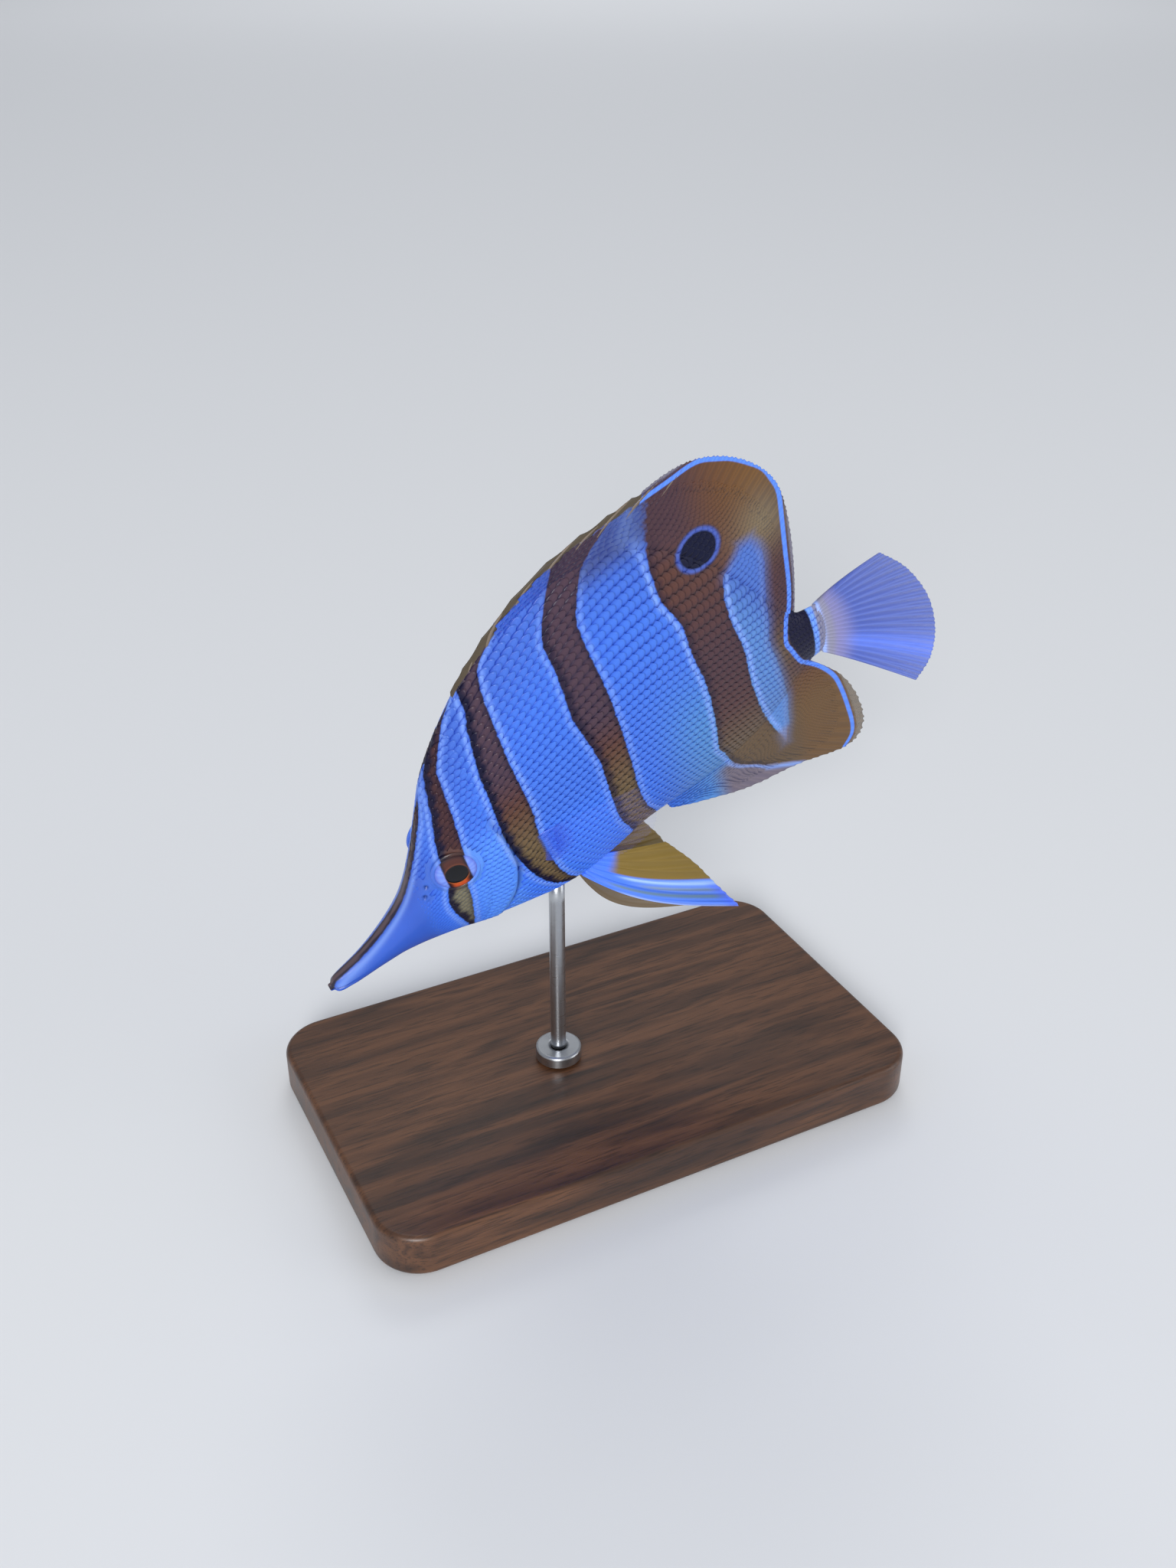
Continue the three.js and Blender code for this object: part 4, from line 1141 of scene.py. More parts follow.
def skin_rings():
    """The skin's rings: at each station equal steps round the side, from the back down the left and up the
    right."""
    stations = skin_stations()
    half = SKIN_AROUND // 2
    share = np.linspace(0, 1, half + 1)
    u = np.broadcast_to(stations[:, None], (SKIN_STATIONS, half + 1))
    up = top_at(u) + (bottom_at(u) - top_at(u)) * share
    sides = []
    for side in (1, -1):
        bare_place, out, _ = skin_at(u, up, np.full(u.shape, side))
        out[:, [0, -1], 2] = 0
        out /= np.linalg.norm(out, axis=-1, keepdims=True)
        raised = relief(bare_place, side) - COAT_DEPTH / PERCENT
        sides.append((bare_place, bare_place + out * raised[..., None]))
    (left_bare, left), (right_bare, right) = sides
    around = [np.concatenate([a, b[:, -2:0:-1]], 1) for a, b in ((left_bare, right_bare), (left, right))]
    return around


def mouth_rings(start):
    """Rings that close the snout: from the first ring they roll forward over the lips by sin and in to the
    mouth line by (1 + cos) / 2, then run back into a narrow mouth."""
    level = float(mouth_at(0.0))
    tall = 0.04 + 0.96 * (1 + np.cos(LIP_STEPS)) / 2
    wide = 1 - 0.3 * (1 - np.cos(LIP_STEPS)) / 2
    forward = -LIP_ROLL * np.sin(LIP_STEPS)
    tall, wide, forward = np.append(tall[0], tall), np.append(wide[0], wide), np.append(MOUTH_DEPTH, forward)
    return columns(
        start[:, 0] + forward[:, None],
        level + (start[:, 1] - level) * tall[:, None],
        start[:, 2] * wide[:, None],
    )


class FISH_OT_skin(bpy.types.Operator):
    """Makes the one skin of snout, head, gill covers, trunk and tail stalk"""
    bl_idname = "fish.skin"
    bl_label = "Skin"

    def execute(self, context):
        bare_rings, rings = skin_rings()
        lips = mouth_rings(rings[0])
        every = np.concatenate([lips, rings])
        marked = np.concatenate([lips, bare_rings])
        rows, around, _ = every.shape
        faces = [face[::-1] for face in capped_faces(rows, around)]
        caps = np.array([every[0].mean(0), every[-1].mean(0) + [0.2, 0, 0]])
        flat = np.concatenate([marked.reshape(-1, 3), caps])
        values = markings(flat, colours())
        # Painted shade inside the mouth: the rings that run back into it and the cap that closes it darken
        inside = np.concatenate([np.repeat([1, 1, 0.4] + [0] * (rows - 3), around), [1, 0]])
        values["mark"] = mixed(values["mark"], linear(MOUTH_SHADE), inside)
        values["ground"] = mixed(values["ground"], linear(MOUTH_SHADE), inside)
        places = on_stand(np.concatenate([every.reshape(-1, 3), caps]))
        piece("skin", places, faces, "skin", "skin", (
            "snout", "jaw_lower", "head", "gill_cover_left", "gill_cover_right", "torso_front", "torso_rear",
            "tail_base",
        ), values)
        return {"FINISHED"}


# Scales
PLATE_ALONG = np.array([-1.0, -0.3, 0.2, 0.62, 1.0])
PLATE_WIDTH = np.array([0.8, 0.98, 1.0, 0.9, 0.6])
PLATE_ACROSS = np.linspace(-1, 1, 5)
PLATE_ROUNDING = 0.3
PLATE_THICK = 0.07
BODY_ROWS = (-34, 46)
HEAD_ROWS = (-26, 34)


def plate_grid():
    """One scale from -1 to 1 along and across: wide at its middle, its free edge round."""
    a, b = np.meshgrid(PLATE_ALONG, PLATE_ACROSS, indexing="ij")
    along_plate = a - PLATE_ROUNDING * b * b * np.clip(a + 0.4, 0, None)
    return along_plate, b * PLATE_WIDTH[:, None]


def scale_plates(surface_at, u, up, angle, length, width, rise):
    """Closed scales on a surface: each place of a scale's grid is laid on the surface about its root,
    turned by angle, and lifted from under the skin at the root to rise at the free edge, with a crown
    across."""
    a, b = plate_grid()
    rows, across = a.shape
    x = a[None] * (length / 2)[:, None, None]
    y = b[None] * (width / 2)[:, None, None]
    c, s = np.cos(angle)[:, None, None], np.sin(angle)[:, None, None]
    at_u, at_up = u[:, None, None] + x * c - y * s, up[:, None, None] + x * s + y * c
    free = np.clip((a + 1) / 2, 0, 1) ** 0.8
    crown = 0.28 * (1 - b * b) * np.clip(a + 1, 0, 1)
    sunk = np.minimum(0.05 / PERCENT, 0.45 * rise + 0.018 * (1 - smooth((u - 15) / 2.5)))[:, None, None]
    lift = rise[:, None, None] * (free + crown)[None] - COAT_DEPTH / PERCENT - sunk
    bare_place, out, top = surface_at(at_u, at_up, lift)
    under = top - out * (PLATE_THICK / PERCENT)
    places = np.stack([top, under], 1)
    marked = np.stack([bare_place, bare_place], 1)
    first = np.arange(len(u))[:, None, None] * 2 * rows * across
    faces = (slab_faces(rows, across)[None] + first).reshape(-1, 4)
    # Painted shade: each scale darker towards its borders and its root, where the rows meet and the scale
    # before overlaps it
    painted_shading = 1 - 0.75 * smooth((np.abs(b) - 0.3) / 0.65) - 0.25 * smooth((0.1 - a) / 0.5)
    painted_shading = np.broadcast_to(painted_shading, (len(u), 2, rows, across))
    spread = np.stack([a, b], -1) * 0.0014
    return places.reshape(-1, 3), marked.reshape(-1, 3), faces, painted_shading.reshape(-1), spread


def pitch_at(u, scale_pitch):
    """Distance from one scale to the next along its row in percent, less towards the head and towards the
    tail."""
    return scale_pitch / PERCENT * (0.62 + 0.38 * smooth((u - 24) / 8)) * (1 - 0.45 * smooth((u - 66) / 16))


def body_lattice(context):
    """Roots of the body's scales on one side: rows that climb towards the tail in front and level out
    behind, and steps along each row, every second row moved by half a step."""
    sizes = context.scene.fish_sizes
    grid = np.linspace(20, TRUNK_END, 400)
    steep = 1 - 0.85 * smooth((grid - 42) / 20)
    sway = np.cumsum(steep) * (grid[1] - grid[0])
    sway -= np.interp(36, grid, sway)
    pitch = pitch_at(grid, sizes.scale_pitch)
    count = np.cumsum(1 / pitch) * (grid[1] - grid[0])
    rows = np.arange(*BODY_ROWS)
    start = sizes.row_pitch / PERCENT * (rows + 0.003 * rows * np.abs(rows))
    lean = 0.28 + 0.3 * smooth((start - 3) / 15)
    step = np.arange(int(count[-1]) + 1)
    row, number = np.meshgrid(np.arange(rows.size), step, indexing="ij")
    u = np.interp(number + 0.5 * (row % 2), count, grid)
    up = start[row] + lean[row] * np.interp(u, grid, sway)
    gaps = np.gradient(start)[row] + np.gradient(lean)[row] * np.interp(u, grid, sway)
    slope = lean[row] * np.interp(u, grid, steep)
    angle = np.arctan(slope)
    width = gaps * np.cos(angle) * 1.32
    length = np.interp(u, grid, pitch) / np.cos(angle) * 2.0
    return [value.ravel() for value in (u, up, angle, length, width)]


def head_lattice():
    """Roots of the small scales of cheek, gill cover and nape on one side, in rows along the head."""
    rows = np.arange(*HEAD_ROWS)
    grid = np.linspace(12, 30, 200)
    pitch = 0.62 + 0.3 * smooth((grid - 15) / 12)
    count = np.cumsum(1 / pitch) * (grid[1] - grid[0])
    row, number = np.meshgrid(rows, np.arange(int(count[-1]) + 1), indexing="ij")
    u = np.interp(number + 0.5 * (row % 2), count, grid)
    spread = 0.62 + 0.26 * smooth((u - 15) / 12)
    up = row * spread
    angle = np.arctan(0.052 * row * smooth((u - 15) / 6) * smooth((28 - u) / 6))
    size = np.interp(u, grid, pitch)
    return [value.ravel() for value in (u, up, angle, size * 1.9, spread * 1.35)]


def coat_uv(u, up, side, spread):
    """Each scale as a small patch at its root's place on the skin's unwrap: u along, distance round the
    girth up."""
    share = (top_at(u) - up) / (top_at(u) - bottom_at(u))
    across = 0.5 * share if side > 0 else 1 - 0.5 * share
    middle = np.stack([0.02 + 0.96 * u / TRUNK_END, 0.01 + 0.98 * across], -1)
    patch = middle[:, None, None, None, :] + spread[None, None]
    return np.broadcast_to(patch, (len(u), 2, *spread.shape)).reshape(-1, 2)


def lay_scales(name, lattice, keep, side, rise):
    """One piece of scales on one side of the skin, from the roots that keep chooses."""
    u, up, angle, length, width = lattice
    place = bare(u, up, side)
    margin = np.where(u > 31, 0.3, 0.1)
    chosen = keep(u, place[:, 1]) & (up < top_at(u) - margin) & (up > bottom_at(u) + margin)
    u, up, angle, length, width = (value[chosen] for value in (u, up, angle, length, width))
    rise = rise(u, np.minimum(top_at(u) - up, up - bottom_at(u)))

    def surface_at(at_u, at_up, lift):
        return skin_at(at_u, at_up, side, lift)

    places, marked, faces, painted_shading, spread = scale_plates(surface_at, u, up, angle, length, width, rise)
    if side < 0:
        faces = faces[:, ::-1]
    values = markings(marked, colours())
    # Painted shade of each scale, for the scales' finish
    values["painted_shading"] = painted_shading
    piece(name, on_stand(places), faces, "scales", "skin", (), values, coat_uv(u, up, side, spread))


def below_gill_top(v):
    """0 above the gill cover's upper corner and 1 from 3 percent below it on."""
    return smooth((GILL_TOP + 1 - v) / 3)


def off_eye(u, v, side):
    """True where a place on the side is clear of the eye and its rim."""
    middle, _, tailward, above = eye_frame(side)
    place = columns(u, v, side * half_width_at(u, v)) - middle
    return np.hypot(place @ tailward, place @ above) > EYE_RADIUS + 1.1


class FISH_OT_body_scales(bpy.types.Operator):
    """Lays overlapping scales in rows over the trunk, in a front and a rear piece on each side"""
    bl_idname = "fish.body_scales"
    bl_label = "Body scales"

    def execute(self, context):
        lattice = body_lattice(context)
        rise = context.scene.fish_sizes.scale_rise / PERCENT

        def behind_gills(u, v):
            """True behind the gill cover's edge, and 0.8 percent further back below its upper corner."""
            return u > gill_at(v) + 0.8 * below_gill_top(v)

        def on_front(u, v):
            return behind_gills(u, v) & (u < MID_TRUNK)

        def on_rear(u, v):
            return (u >= MID_TRUNK) & (u < TRUNK_END - 0.8)

        def front_rise(u, near):
            return rise * (0.7 + 0.3 * smooth((u - 27) / 6)) * (0.4 + 0.6 * smooth(near / 4))

        def rear_rise(u, near):
            return rise * (1 - 0.45 * smooth((u - 62) / 16)) * (0.22 + 0.78 * smooth(near / 5))

        for side, word in SIDES:
            lay_scales(f"scales_front_{word}", lattice, on_front, side, front_rise)
            lay_scales(f"scales_rear_{word}", lattice, on_rear, side, rear_rise)
        return {"FINISHED"}


class FISH_OT_head_scales(bpy.types.Operator):
    """Lays small flat scales over the cheeks, gill covers and nape"""
    bl_idname = "fish.head_scales"
    bl_label = "Head scales"

    def execute(self, context):
        lattice = head_lattice()
        for side, word in SIDES:
            def on_head(u, v, side=side):
                """True between snout and gill cover's edge, clear of eye and nostrils."""
                before_gills = u < gill_at(v) + 0.2 - 1.2 * below_gill_top(v)
                clear = off_eye(u, v, side)
                for at_u, at_v in NOSTRILS:
                    clear &= np.hypot(u - at_u, v - at_v) > 1.15
                return before_gills & clear & (u > 15)
            lay_scales(f"scales_head_{word}", lattice, on_head, side,
                       lambda u, near: 0.03 + 0.07 * smooth((u - 15) / 9))
        return {"FINISHED"}


# Eyes
def eye_colours(across, above):
    """Black pupil with a thin copper ring; the eye band runs through the iris, dark brown above the pupil
    and orange red below it; the iris is blue silver before and behind, and violet at the rim."""
    far, turn = np.hypot(across, above), np.arctan2(above, across)
    looks = linear_all(EYE_COLOURS)
    rays = np.sin(17 * turn + 2 * np.sin(5 * turn)) * smooth((far - 1.4) / 0.6)
    below = smooth((-above - 0.5) / 1.0)
    every = np.ones((*far.shape, 3))
    stripe = washed(every * looks["brown"], looks, (
        ("red", below * smooth((1.35 - np.abs(across)) / 0.8)),
        ("dark", 0.9 * bell((np.abs(across - 0.1) - 1.6) / 0.3)),
        ("dark", 0.7 * smooth((far - 2.3) / 0.5)),
    ))
    iris = washed(every * looks["silver"], looks, (
        ("rays", 0.3 + 0.3 * rays),
        ("violet", 0.6 * smooth((far - 2.3) / 0.6)),
    ))
    iris = mixed(iris, stripe, smooth((1.8 - np.abs(across - 0.1)) / 0.25))
    return washed(iris, looks, (
        ("ring", bell((far - PUPIL_RADIUS - 0.1) / 0.11) * (0.12 + 0.6 * below)),
        ("pupil", smooth((PUPIL_RADIUS + 0.04 - far) / 0.08)),
    ))


def eye_surface(side):
    """A lens turned about the eye's axis: a dome 0.9 sqrt(1 - (r/3.05)^2) high with the pupil raised on
    it, closed behind by half an ellipse. Returns places and the distances across and above the eye's
    middle."""
    middle, out, tailward, above = eye_frame(side)
    front_r = EYE_RADIUS * np.sin(np.linspace(0, math.pi / 2, 64))
    front_h = -0.18 + 0.9 * np.sqrt(1 - (front_r / 3.05) ** 2)
    front_h = front_h + 0.07 * smooth((PUPIL_RADIUS + 0.1 - front_r) / 0.25)
    turn = np.linspace(0, math.pi / 2, 8)[1:]
    back_r, back_h = EYE_RADIUS * np.cos(turn), front_h[-1] - 1.3 * np.sin(turn)
    radius, height = np.concatenate([front_r[1:], back_r[:-1]]), np.concatenate([front_h[1:], back_h[:-1]])
    around = np.linspace(0, 2 * math.pi, EYE_SIDES, endpoint=False)
    x, y = radius[:, None] * np.cos(around), radius[:, None] * np.sin(around)
    places = middle + x[..., None] * tailward + y[..., None] * above + height[:, None, None] * out
    poles = np.array([middle + out * front_h[0], middle + out * back_h[-1]])
    faces = capped_faces(len(radius), EYE_SIDES)
    if side < 0:
        faces = [face[::-1] for face in faces]
    x, y = np.append(x.ravel(), [0, 0]), np.append(y.ravel(), [0, 9])
    return np.concatenate([places.reshape(-1, 3), poles]), faces, eye_colours(x, y)


RIM_ROUND = 96
RIM_SECTION = 14


def orbit_rim(side):
    """The skin's rim round the eye: a ring with an oval section, 0.32 by 0.28 percent from its middle,
    about the eye's edge."""
    middle, out, tailward, above = eye_frame(side)
    turn = np.linspace(0, 2 * math.pi, RIM_ROUND, endpoint=False)[:, None]
    section = np.linspace(0, 2 * math.pi, RIM_SECTION, endpoint=False)[None, :]
    radius = EYE_RADIUS + 0.1 + 0.32 * np.cos(section)
    height = -0.02 + 0.28 * np.sin(section)
    places = middle + (radius * np.cos(turn))[..., None] * tailward
    places = places + (radius * np.sin(turn))[..., None] * above + (height + 0 * turn)[..., None] * out
    faces = grid_faces(RIM_ROUND + 1, RIM_SECTION, closed=True) % (RIM_ROUND * RIM_SECTION)
    return places.reshape(-1, 3), faces if side > 0 else faces[:, [0, 3, 2, 1]]


class FISH_OT_eyes(bpy.types.Operator):
    """Makes the eyes and the rims of skin round them"""
    bl_idname = "fish.eyes"
    bl_label = "Eyes"

    def execute(self, context):
        for side, word in SIDES:
            places, faces, colour = eye_surface(side)
            piece(f"eyeball_{word}", on_stand(places), faces, "eye", "eye", (f"eye_{word}",),
                  {"ground": colour})
            places, faces = orbit_rim(side)
            values = markings(places, colours())
            for key, share in (("mark", 0.5), ("ground", 0.15)):
                values[key] = mixed(values[key], linear(RIM_COLOURS[key]), np.full(len(places), share))
            piece(f"orbit_rim_{word}", on_stand(places), faces, "skin", "skin", (), values)
        return {"FINISHED"}


# Fins
def fin_values(places, s, t, rays):
    """Markings of a scaled fin: clear outside the pale line, with painted shade that makes the web between
    the raised rays a fifth darker.
    """
    values = markings(places, colours())
    outside = np.clip(values["line"], 0, None)
    values["clear"] = smooth((outside - PALE_LINE_HALF) / 0.6)
    # Painted shade between the raised rays, towards the margin
    values["painted_shading"] = 1.0 - 0.2 * (1 - rays_at(s, t, rays)) * smooth((t - 0.25) / 0.4)
    return values


def fin_spine(root, tip, root_radius, sag=0.0):
    """A fin spine: a round bar that tapers as (1 - t)^0.7 and bows by sag times its length."""
    t = np.linspace(0, 1, 18)
    start, end = np.array(root, float), np.array(tip, float)
    line = start + (end - start) * t[:, None]
    aside = np.array([-(end - start)[1], (end - start)[0]])
    line = line + aside * (sag * np.sin(math.pi * t))[:, None]
    radii = (root_radius * (1 - t) ** 0.7 + 0.06) / PERCENT
    return tube(np.column_stack([line, 0 * t]), radii, 12)


def spiny_place(s, t):
    """The web between the back spines: from the sunk root to the margin, notched behind each spine."""
    u = SPINY_BASE[0] + (SPINY_BASE[1] - SPINY_BASE[0]) * s
    end = along(SPINY_MARGIN)(s)
    share = np.interp(u, SPINE_ROOTS, np.arange(len(SPINE_ROOTS)))
    root = back_at(u) - FIN_SUNK
    notch = 0.35 * np.abs(np.sin(math.pi * share)) * smooth((u - 31) / 3) / (end[..., 1] - root)
    reach = t * (1 - notch)
    return columns(u + (end[..., 0] - u) * reach, root + (end[..., 1] - root) * reach, 0 * s)


def below_margin(s, t):
    """Distance in percent from a place on the spiny fin's web to its margin, along its own line."""
    edge = spiny_place(s, np.ones(s.shape))
    return np.linalg.norm(spiny_place(s, t) - edge, axis=-1)


def spine_cover(bar):
    """Height in percent of a place on a spine over the scaled foot of the web."""
    margin = spiny_place(np.linspace(0, 1, 400), np.ones(400))
    return np.interp(bar[:, 0], margin[:, 0], STRIP - margin[:, 1]) + bar[:, 1]


def bare_strip(values, share, colour):
    """Values with the fin's own colour where share is 1, and no marking's border there."""
    values["mark"] = mixed(values["mark"], colour, share)
    values["ground"] = mixed(values["ground"], colour, share)
    for key in ("depth", "line", "spot"):
        values[key] = values[key] + 9 * share * np.where(values[key] < 0, -1, 1)
    return values


class FISH_OT_spiny_fin(bpy.types.Operator):
    """Makes the nine folded back spines, and the web between them with its scaled foot"""
    bl_idname = "fish.spiny_fin"
    bl_label = "Spiny back fin"

    def execute(self, context):
        looks = colours()
        places, faces, s, t = sheet(spiny_place, spiny_half, 320, 22)
        values = bare_strip(markings(places, looks), smooth((STRIP - below_margin(s, t)) / 0.4), looks["web"])
        values["clear"], values["painted_shading"] = 0.4 * t ** 4, np.ones(len(places))
        parts = [(places, faces, values)]
        for u, tip in zip(SPINE_ROOTS, SPINE_TIPS):
            bar, quads = fin_spine((u, float(back_at(u)) - 1.5), (tip[0], tip[1] - SPINES_FOLDED), 0.5, 0.08)
            pale = mixed(np.ones(bar.shape) * looks["spine"], looks["web"],
                         0.7 * smooth((0.1 - bar[:, 2] * np.sign(bar[:, 2])) / 0.3))
            values = markings(bar, looks)
            sheath = smooth((spine_cover(bar) + 0.2) / 0.4)
            values = bare_strip(values, sheath, pale)
            values["clear"], values["painted_shading"] = np.zeros(len(bar)), np.ones(len(bar))
            parts.append((bar, quads, values))
        places, faces, values = joined(parts)
        piece("spiny_back_fin", on_stand(places), faces, "spiny", "spiny_fin", ("dorsal_spines",), values)
        return {"FINISHED"}


class FISH_OT_soft_fins(bpy.types.Operator):
    """Makes the soft back fin and the anal fin, with forked rays and a clear rim, and the three anal
    spines"""
    bl_idname = "fish.soft_fins"
    bl_label = "Soft back and anal fins"

    def execute(self, context):
        place = median_place(SOFT_BASE, back_at, -FIN_SUNK, SOFT_MARGIN, 0.012, SOFT_RAYS)
        places, faces, s, t = sheet(place, SOFT_HALF, SOFT_RAYS * 12 + 1, 44)
        piece("soft_back_fin", on_stand(places), faces, "soft", "soft_fin", ("dorsal_soft",),
              fin_values(places, s, t, SOFT_RAYS))
        place = median_place(ANAL_BASE, belly_at, FIN_SUNK, ANAL_MARGIN, 0.014, ANAL_RAYS)
        places, faces, s, t = sheet(place, ANAL_HALF, ANAL_RAYS * 14 + 1, 44)
        parts = [(places, faces, fin_values(places, s, t, ANAL_RAYS))]
        for root, tip in ANAL_SPINES:
            bar, quads = fin_spine(root, (tip[0], tip[1] + 1.3), 0.54)
            values = markings(bar, colours())
            values["clear"], values["painted_shading"] = np.zeros(len(bar)), np.ones(len(bar))
            parts.append((bar, quads, values))
        places, faces, values = joined(parts)
        piece("anal_fin_fine", on_stand(places), faces, "soft", "soft_fin", ("anal_fin",), values)
        return {"FINISHED"}


def fin_lattice(place, scale_pitch):
    """Roots of a fin's scales: rows at even distances from its root, every second row moved by half a
    step, with scales as large as the trunk's at the root and half as large 9 percent out. Returns s, t,
    size and distance."""
    line = np.linspace(0.002, 0.998, 600)
    ends = [place(line, np.full(line.shape, end)) for end in (0.0, 1.0)]
    reach = np.linalg.norm(ends[1] - ends[0], axis=1)
    root_size = pitch_at(ends[0][:, 0], scale_pitch)
    parts, far, row = [], 0.3, 0
    while far < reach.max() * 0.8:
        shrink = 1 - 0.5 * smooth((far - 1) / 9)
        t = np.minimum(far / reach, 1)
        path = place(line, t)
        step = np.linalg.norm(np.diff(path, axis=0, prepend=path[:1]), axis=1)
        count = np.cumsum(step / (root_size * shrink))
        s = np.interp(np.arange(0.5 * (row % 2), count[-1]), count, line)
        parts.append(columns(s, np.interp(s, line, t), np.interp(s, line, root_size) * shrink, far))
        far += 0.8 * root_size.mean() * shrink
        row += 1
    s, t, size, far = np.concatenate(parts).T
    room = np.interp(s, line, reach) * (1 - t)
    return np.stack([s, t, size, far])[:, (room > 1.3 * size) & (s > 0.004)]


def lay_fin_scales(name, place, half, side, scale_pitch, keep):
    """Small scales over the foot of a fin in the middle plane: they lie towards the tail at its root and
    turn along its rays towards the margin, where they are smaller and flatter."""
    s, t, size, far = fin_lattice(place, scale_pitch)
    chosen = keep(s, t)
    s, t, size, far = s[chosen], t[chosen], size[chosen], far[chosen]
    here, ahead = place(s, t), place(s, t + 0.02)
    by_t = ahead - here
    step = np.linalg.norm(by_t, axis=1)
    by_t /= step[:, None]
    turn = 0.85 * smooth((far - 1) / 8)[:, None]
    heading = np.array([0.99, 0.14, 0]) * (1 - turn) + by_t * turn
    angle = np.arctan2(heading[:, 1], heading[:, 0])
    level = half(s, t)
    slope = (half(s, t + 0.02) - level) / step

    def spread(value):
        return value[:, None, None]

    def surface_at(x, y, lift):
        from_x, from_y = x - spread(here[:, 0]), y - spread(here[:, 1])
        out_along = from_x * spread(by_t[:, 0]) + from_y * spread(by_t[:, 1])
        flat = columns(x, y, side * np.maximum(spread(level) + spread(slope) * out_along, 0.02))
        out = columns(0 * x, 0 * x, side + 0 * x)
        return flat, out, flat + out * (lift + (COAT_DEPTH + 0.02) / PERCENT)[..., None]

    rise = 0.1 * (1 - 0.55 * smooth((far - 1) / 9)) * np.clip(1.15 - t, 0.3, 1)
    places, marked, faces, painted_shading, patch = scale_plates(
        surface_at, here[:, 0], here[:, 1], angle, size * 2.0, size * 1.35, rise)
    values = markings(marked, colours())
    # Painted shade of the fin's scales, half as strong towards the margin
    values["painted_shading"] = 1 - (1 - painted_shading) * np.repeat(1 - 0.5 * t, painted_shading.size // len(t))
    middle = np.stack([here[:, 0] / 100, 0.45 + here[:, 1] / 100], -1)
    uv = np.broadcast_to(middle[:, None, None, None, :] + patch, (len(s), 2, *patch.shape)).reshape(-1, 2)
    if side < 0:
        faces = faces[:, ::-1]
    piece(name, on_stand(places), faces, "scales", "soft_fin", (), values, uv)


class FISH_OT_fin_scales(bpy.types.Operator):
    """Lays small scales over the feet of the back fins and the anal fin"""
    bl_idname = "fish.fin_scales"
    bl_label = "Fin scales"

    def execute(self, context):
        pitch = context.scene.fish_sizes.scale_pitch
        soft = median_place(SOFT_BASE, back_at, -FIN_SUNK, SOFT_MARGIN)
        anal = median_place(ANAL_BASE, belly_at, FIN_SUNK, ANAL_MARGIN)
        for side, word in SIDES:
            lay_fin_scales(f"scales_back_fin_{word}", soft, SOFT_HALF, side, pitch, lambda s, t: t < SCALED)
            lay_fin_scales(f"scales_anal_fin_{word}", anal, ANAL_HALF, side, pitch,
                           lambda s, t: (t < SCALED) & (s > 0.035))
            lay_fin_scales(f"scales_spiny_fin_{word}", spiny_place, spiny_half, side, pitch,
                           lambda s, t: (below_margin(s, t) > STRIP + 0.3) & (s > 0.3))
        return {"FINISHED"}


class FISH_OT_tail_fin(bpy.types.Operator):
    """Makes the spread tail fin, clear between pale forked rays"""
    bl_idname = "fish.tail_fin"
    bl_label = "Tail fin"

    def execute(self, context):
        looks = {"stalk": colours()["stalk"], **linear_all(TAIL_COLOURS)}
        place = spread_place(TAIL_ROOT, TAIL_MARGIN, (0, 0, 0), TAIL_SWEEP_POWER, 0.006, TAIL_RAYS)
        half = fin_half(0.7, TAIL_RAYS, 0.11, fork_from=0.3)
        places, faces, s, t = sheet(place, half, TAIL_RAYS * 16 + 1, 60)
        ray = rays_at(s, t, TAIL_RAYS, fork_from=0.3)
        base = smooth((0.2 - t) / 0.08)
        ground = washed(np.ones(places.shape) * looks["web"], looks, (
            ("rays", ray * 0.6),
            # Painted highlight: a brighter streak along the rays in the tail's lower part
            ("painted_sheen", 0.8 * bell((s - 0.74) / 0.09) * smooth((t - 0.12) / 0.2)),
            ("inner", smooth((0.4 - t) / 0.22) * 0.75),
            ("stalk", base),
            ("root_line", bell((t - 0.035) / 0.03)),
        ))
        clear = (1 - 0.45 * ray) * (1 - base) * (0.4 + 0.6 * t)
        piece("tail_fin_fine", on_stand(places), faces, "clear", "clear_fin", ("tail_fin",),
              {"ground": ground, "clear": clear})
        return {"FINISHED"}


class FISH_OT_side_fins(bpy.types.Operator):
    """Makes the two clear side fins"""
    bl_idname = "fish.side_fins"
    bl_label = "Side fins"

    def execute(self, context):
        looks = linear_all(SIDE_FIN_COLOURS)
        for side, word in SIDES:
            root = [(u, v, side * (float(half_width_at(u, v)) - 0.6)) for u, v in PECTORAL_ROOT]
            tips = [(u, v, side * w) for u, v, w in PECTORAL_TIPS]
            place = spread_place(root, tips, (0, 0, 0), 1.0, 0.01, PECTORAL_RAYS)
            half = fin_half(0.42, PECTORAL_RAYS, 0.06, fork_from=0.35)
            places, faces, s, t = sheet(place, half, PECTORAL_RAYS * 12 + 1, 48)
            ray = rays_at(s, t, PECTORAL_RAYS, fork_from=0.35)
            values = markings(places, colours())
            body = mixed(values["ground"], values["mark"], smooth(values["depth"] / 0.3))
            ground = washed(np.ones(places.shape) * looks["web"], looks, (
                ("rays", ray),
                # Darker root: partly the fin's thicker root, partly painted shade
                ("inner", smooth((0.45 - t) / 0.25)),
            ))
            ground = mixed(ground, body, smooth((0.17 - t) / 0.08))
            out = 0.55 * smooth((t - 0.05) / 0.12) + 0.45 * smooth((t - 0.1) / 0.3)
            piece(f"pectoral_fin_{word}", on_stand(places), faces, "side", "clear_fin", (f"pectoral_{word}",),
                  {"ground": ground, "clear": (1 - 0.07 * ray * (1 - 0.5 * t)) * out})
        return {"FINISHED"}


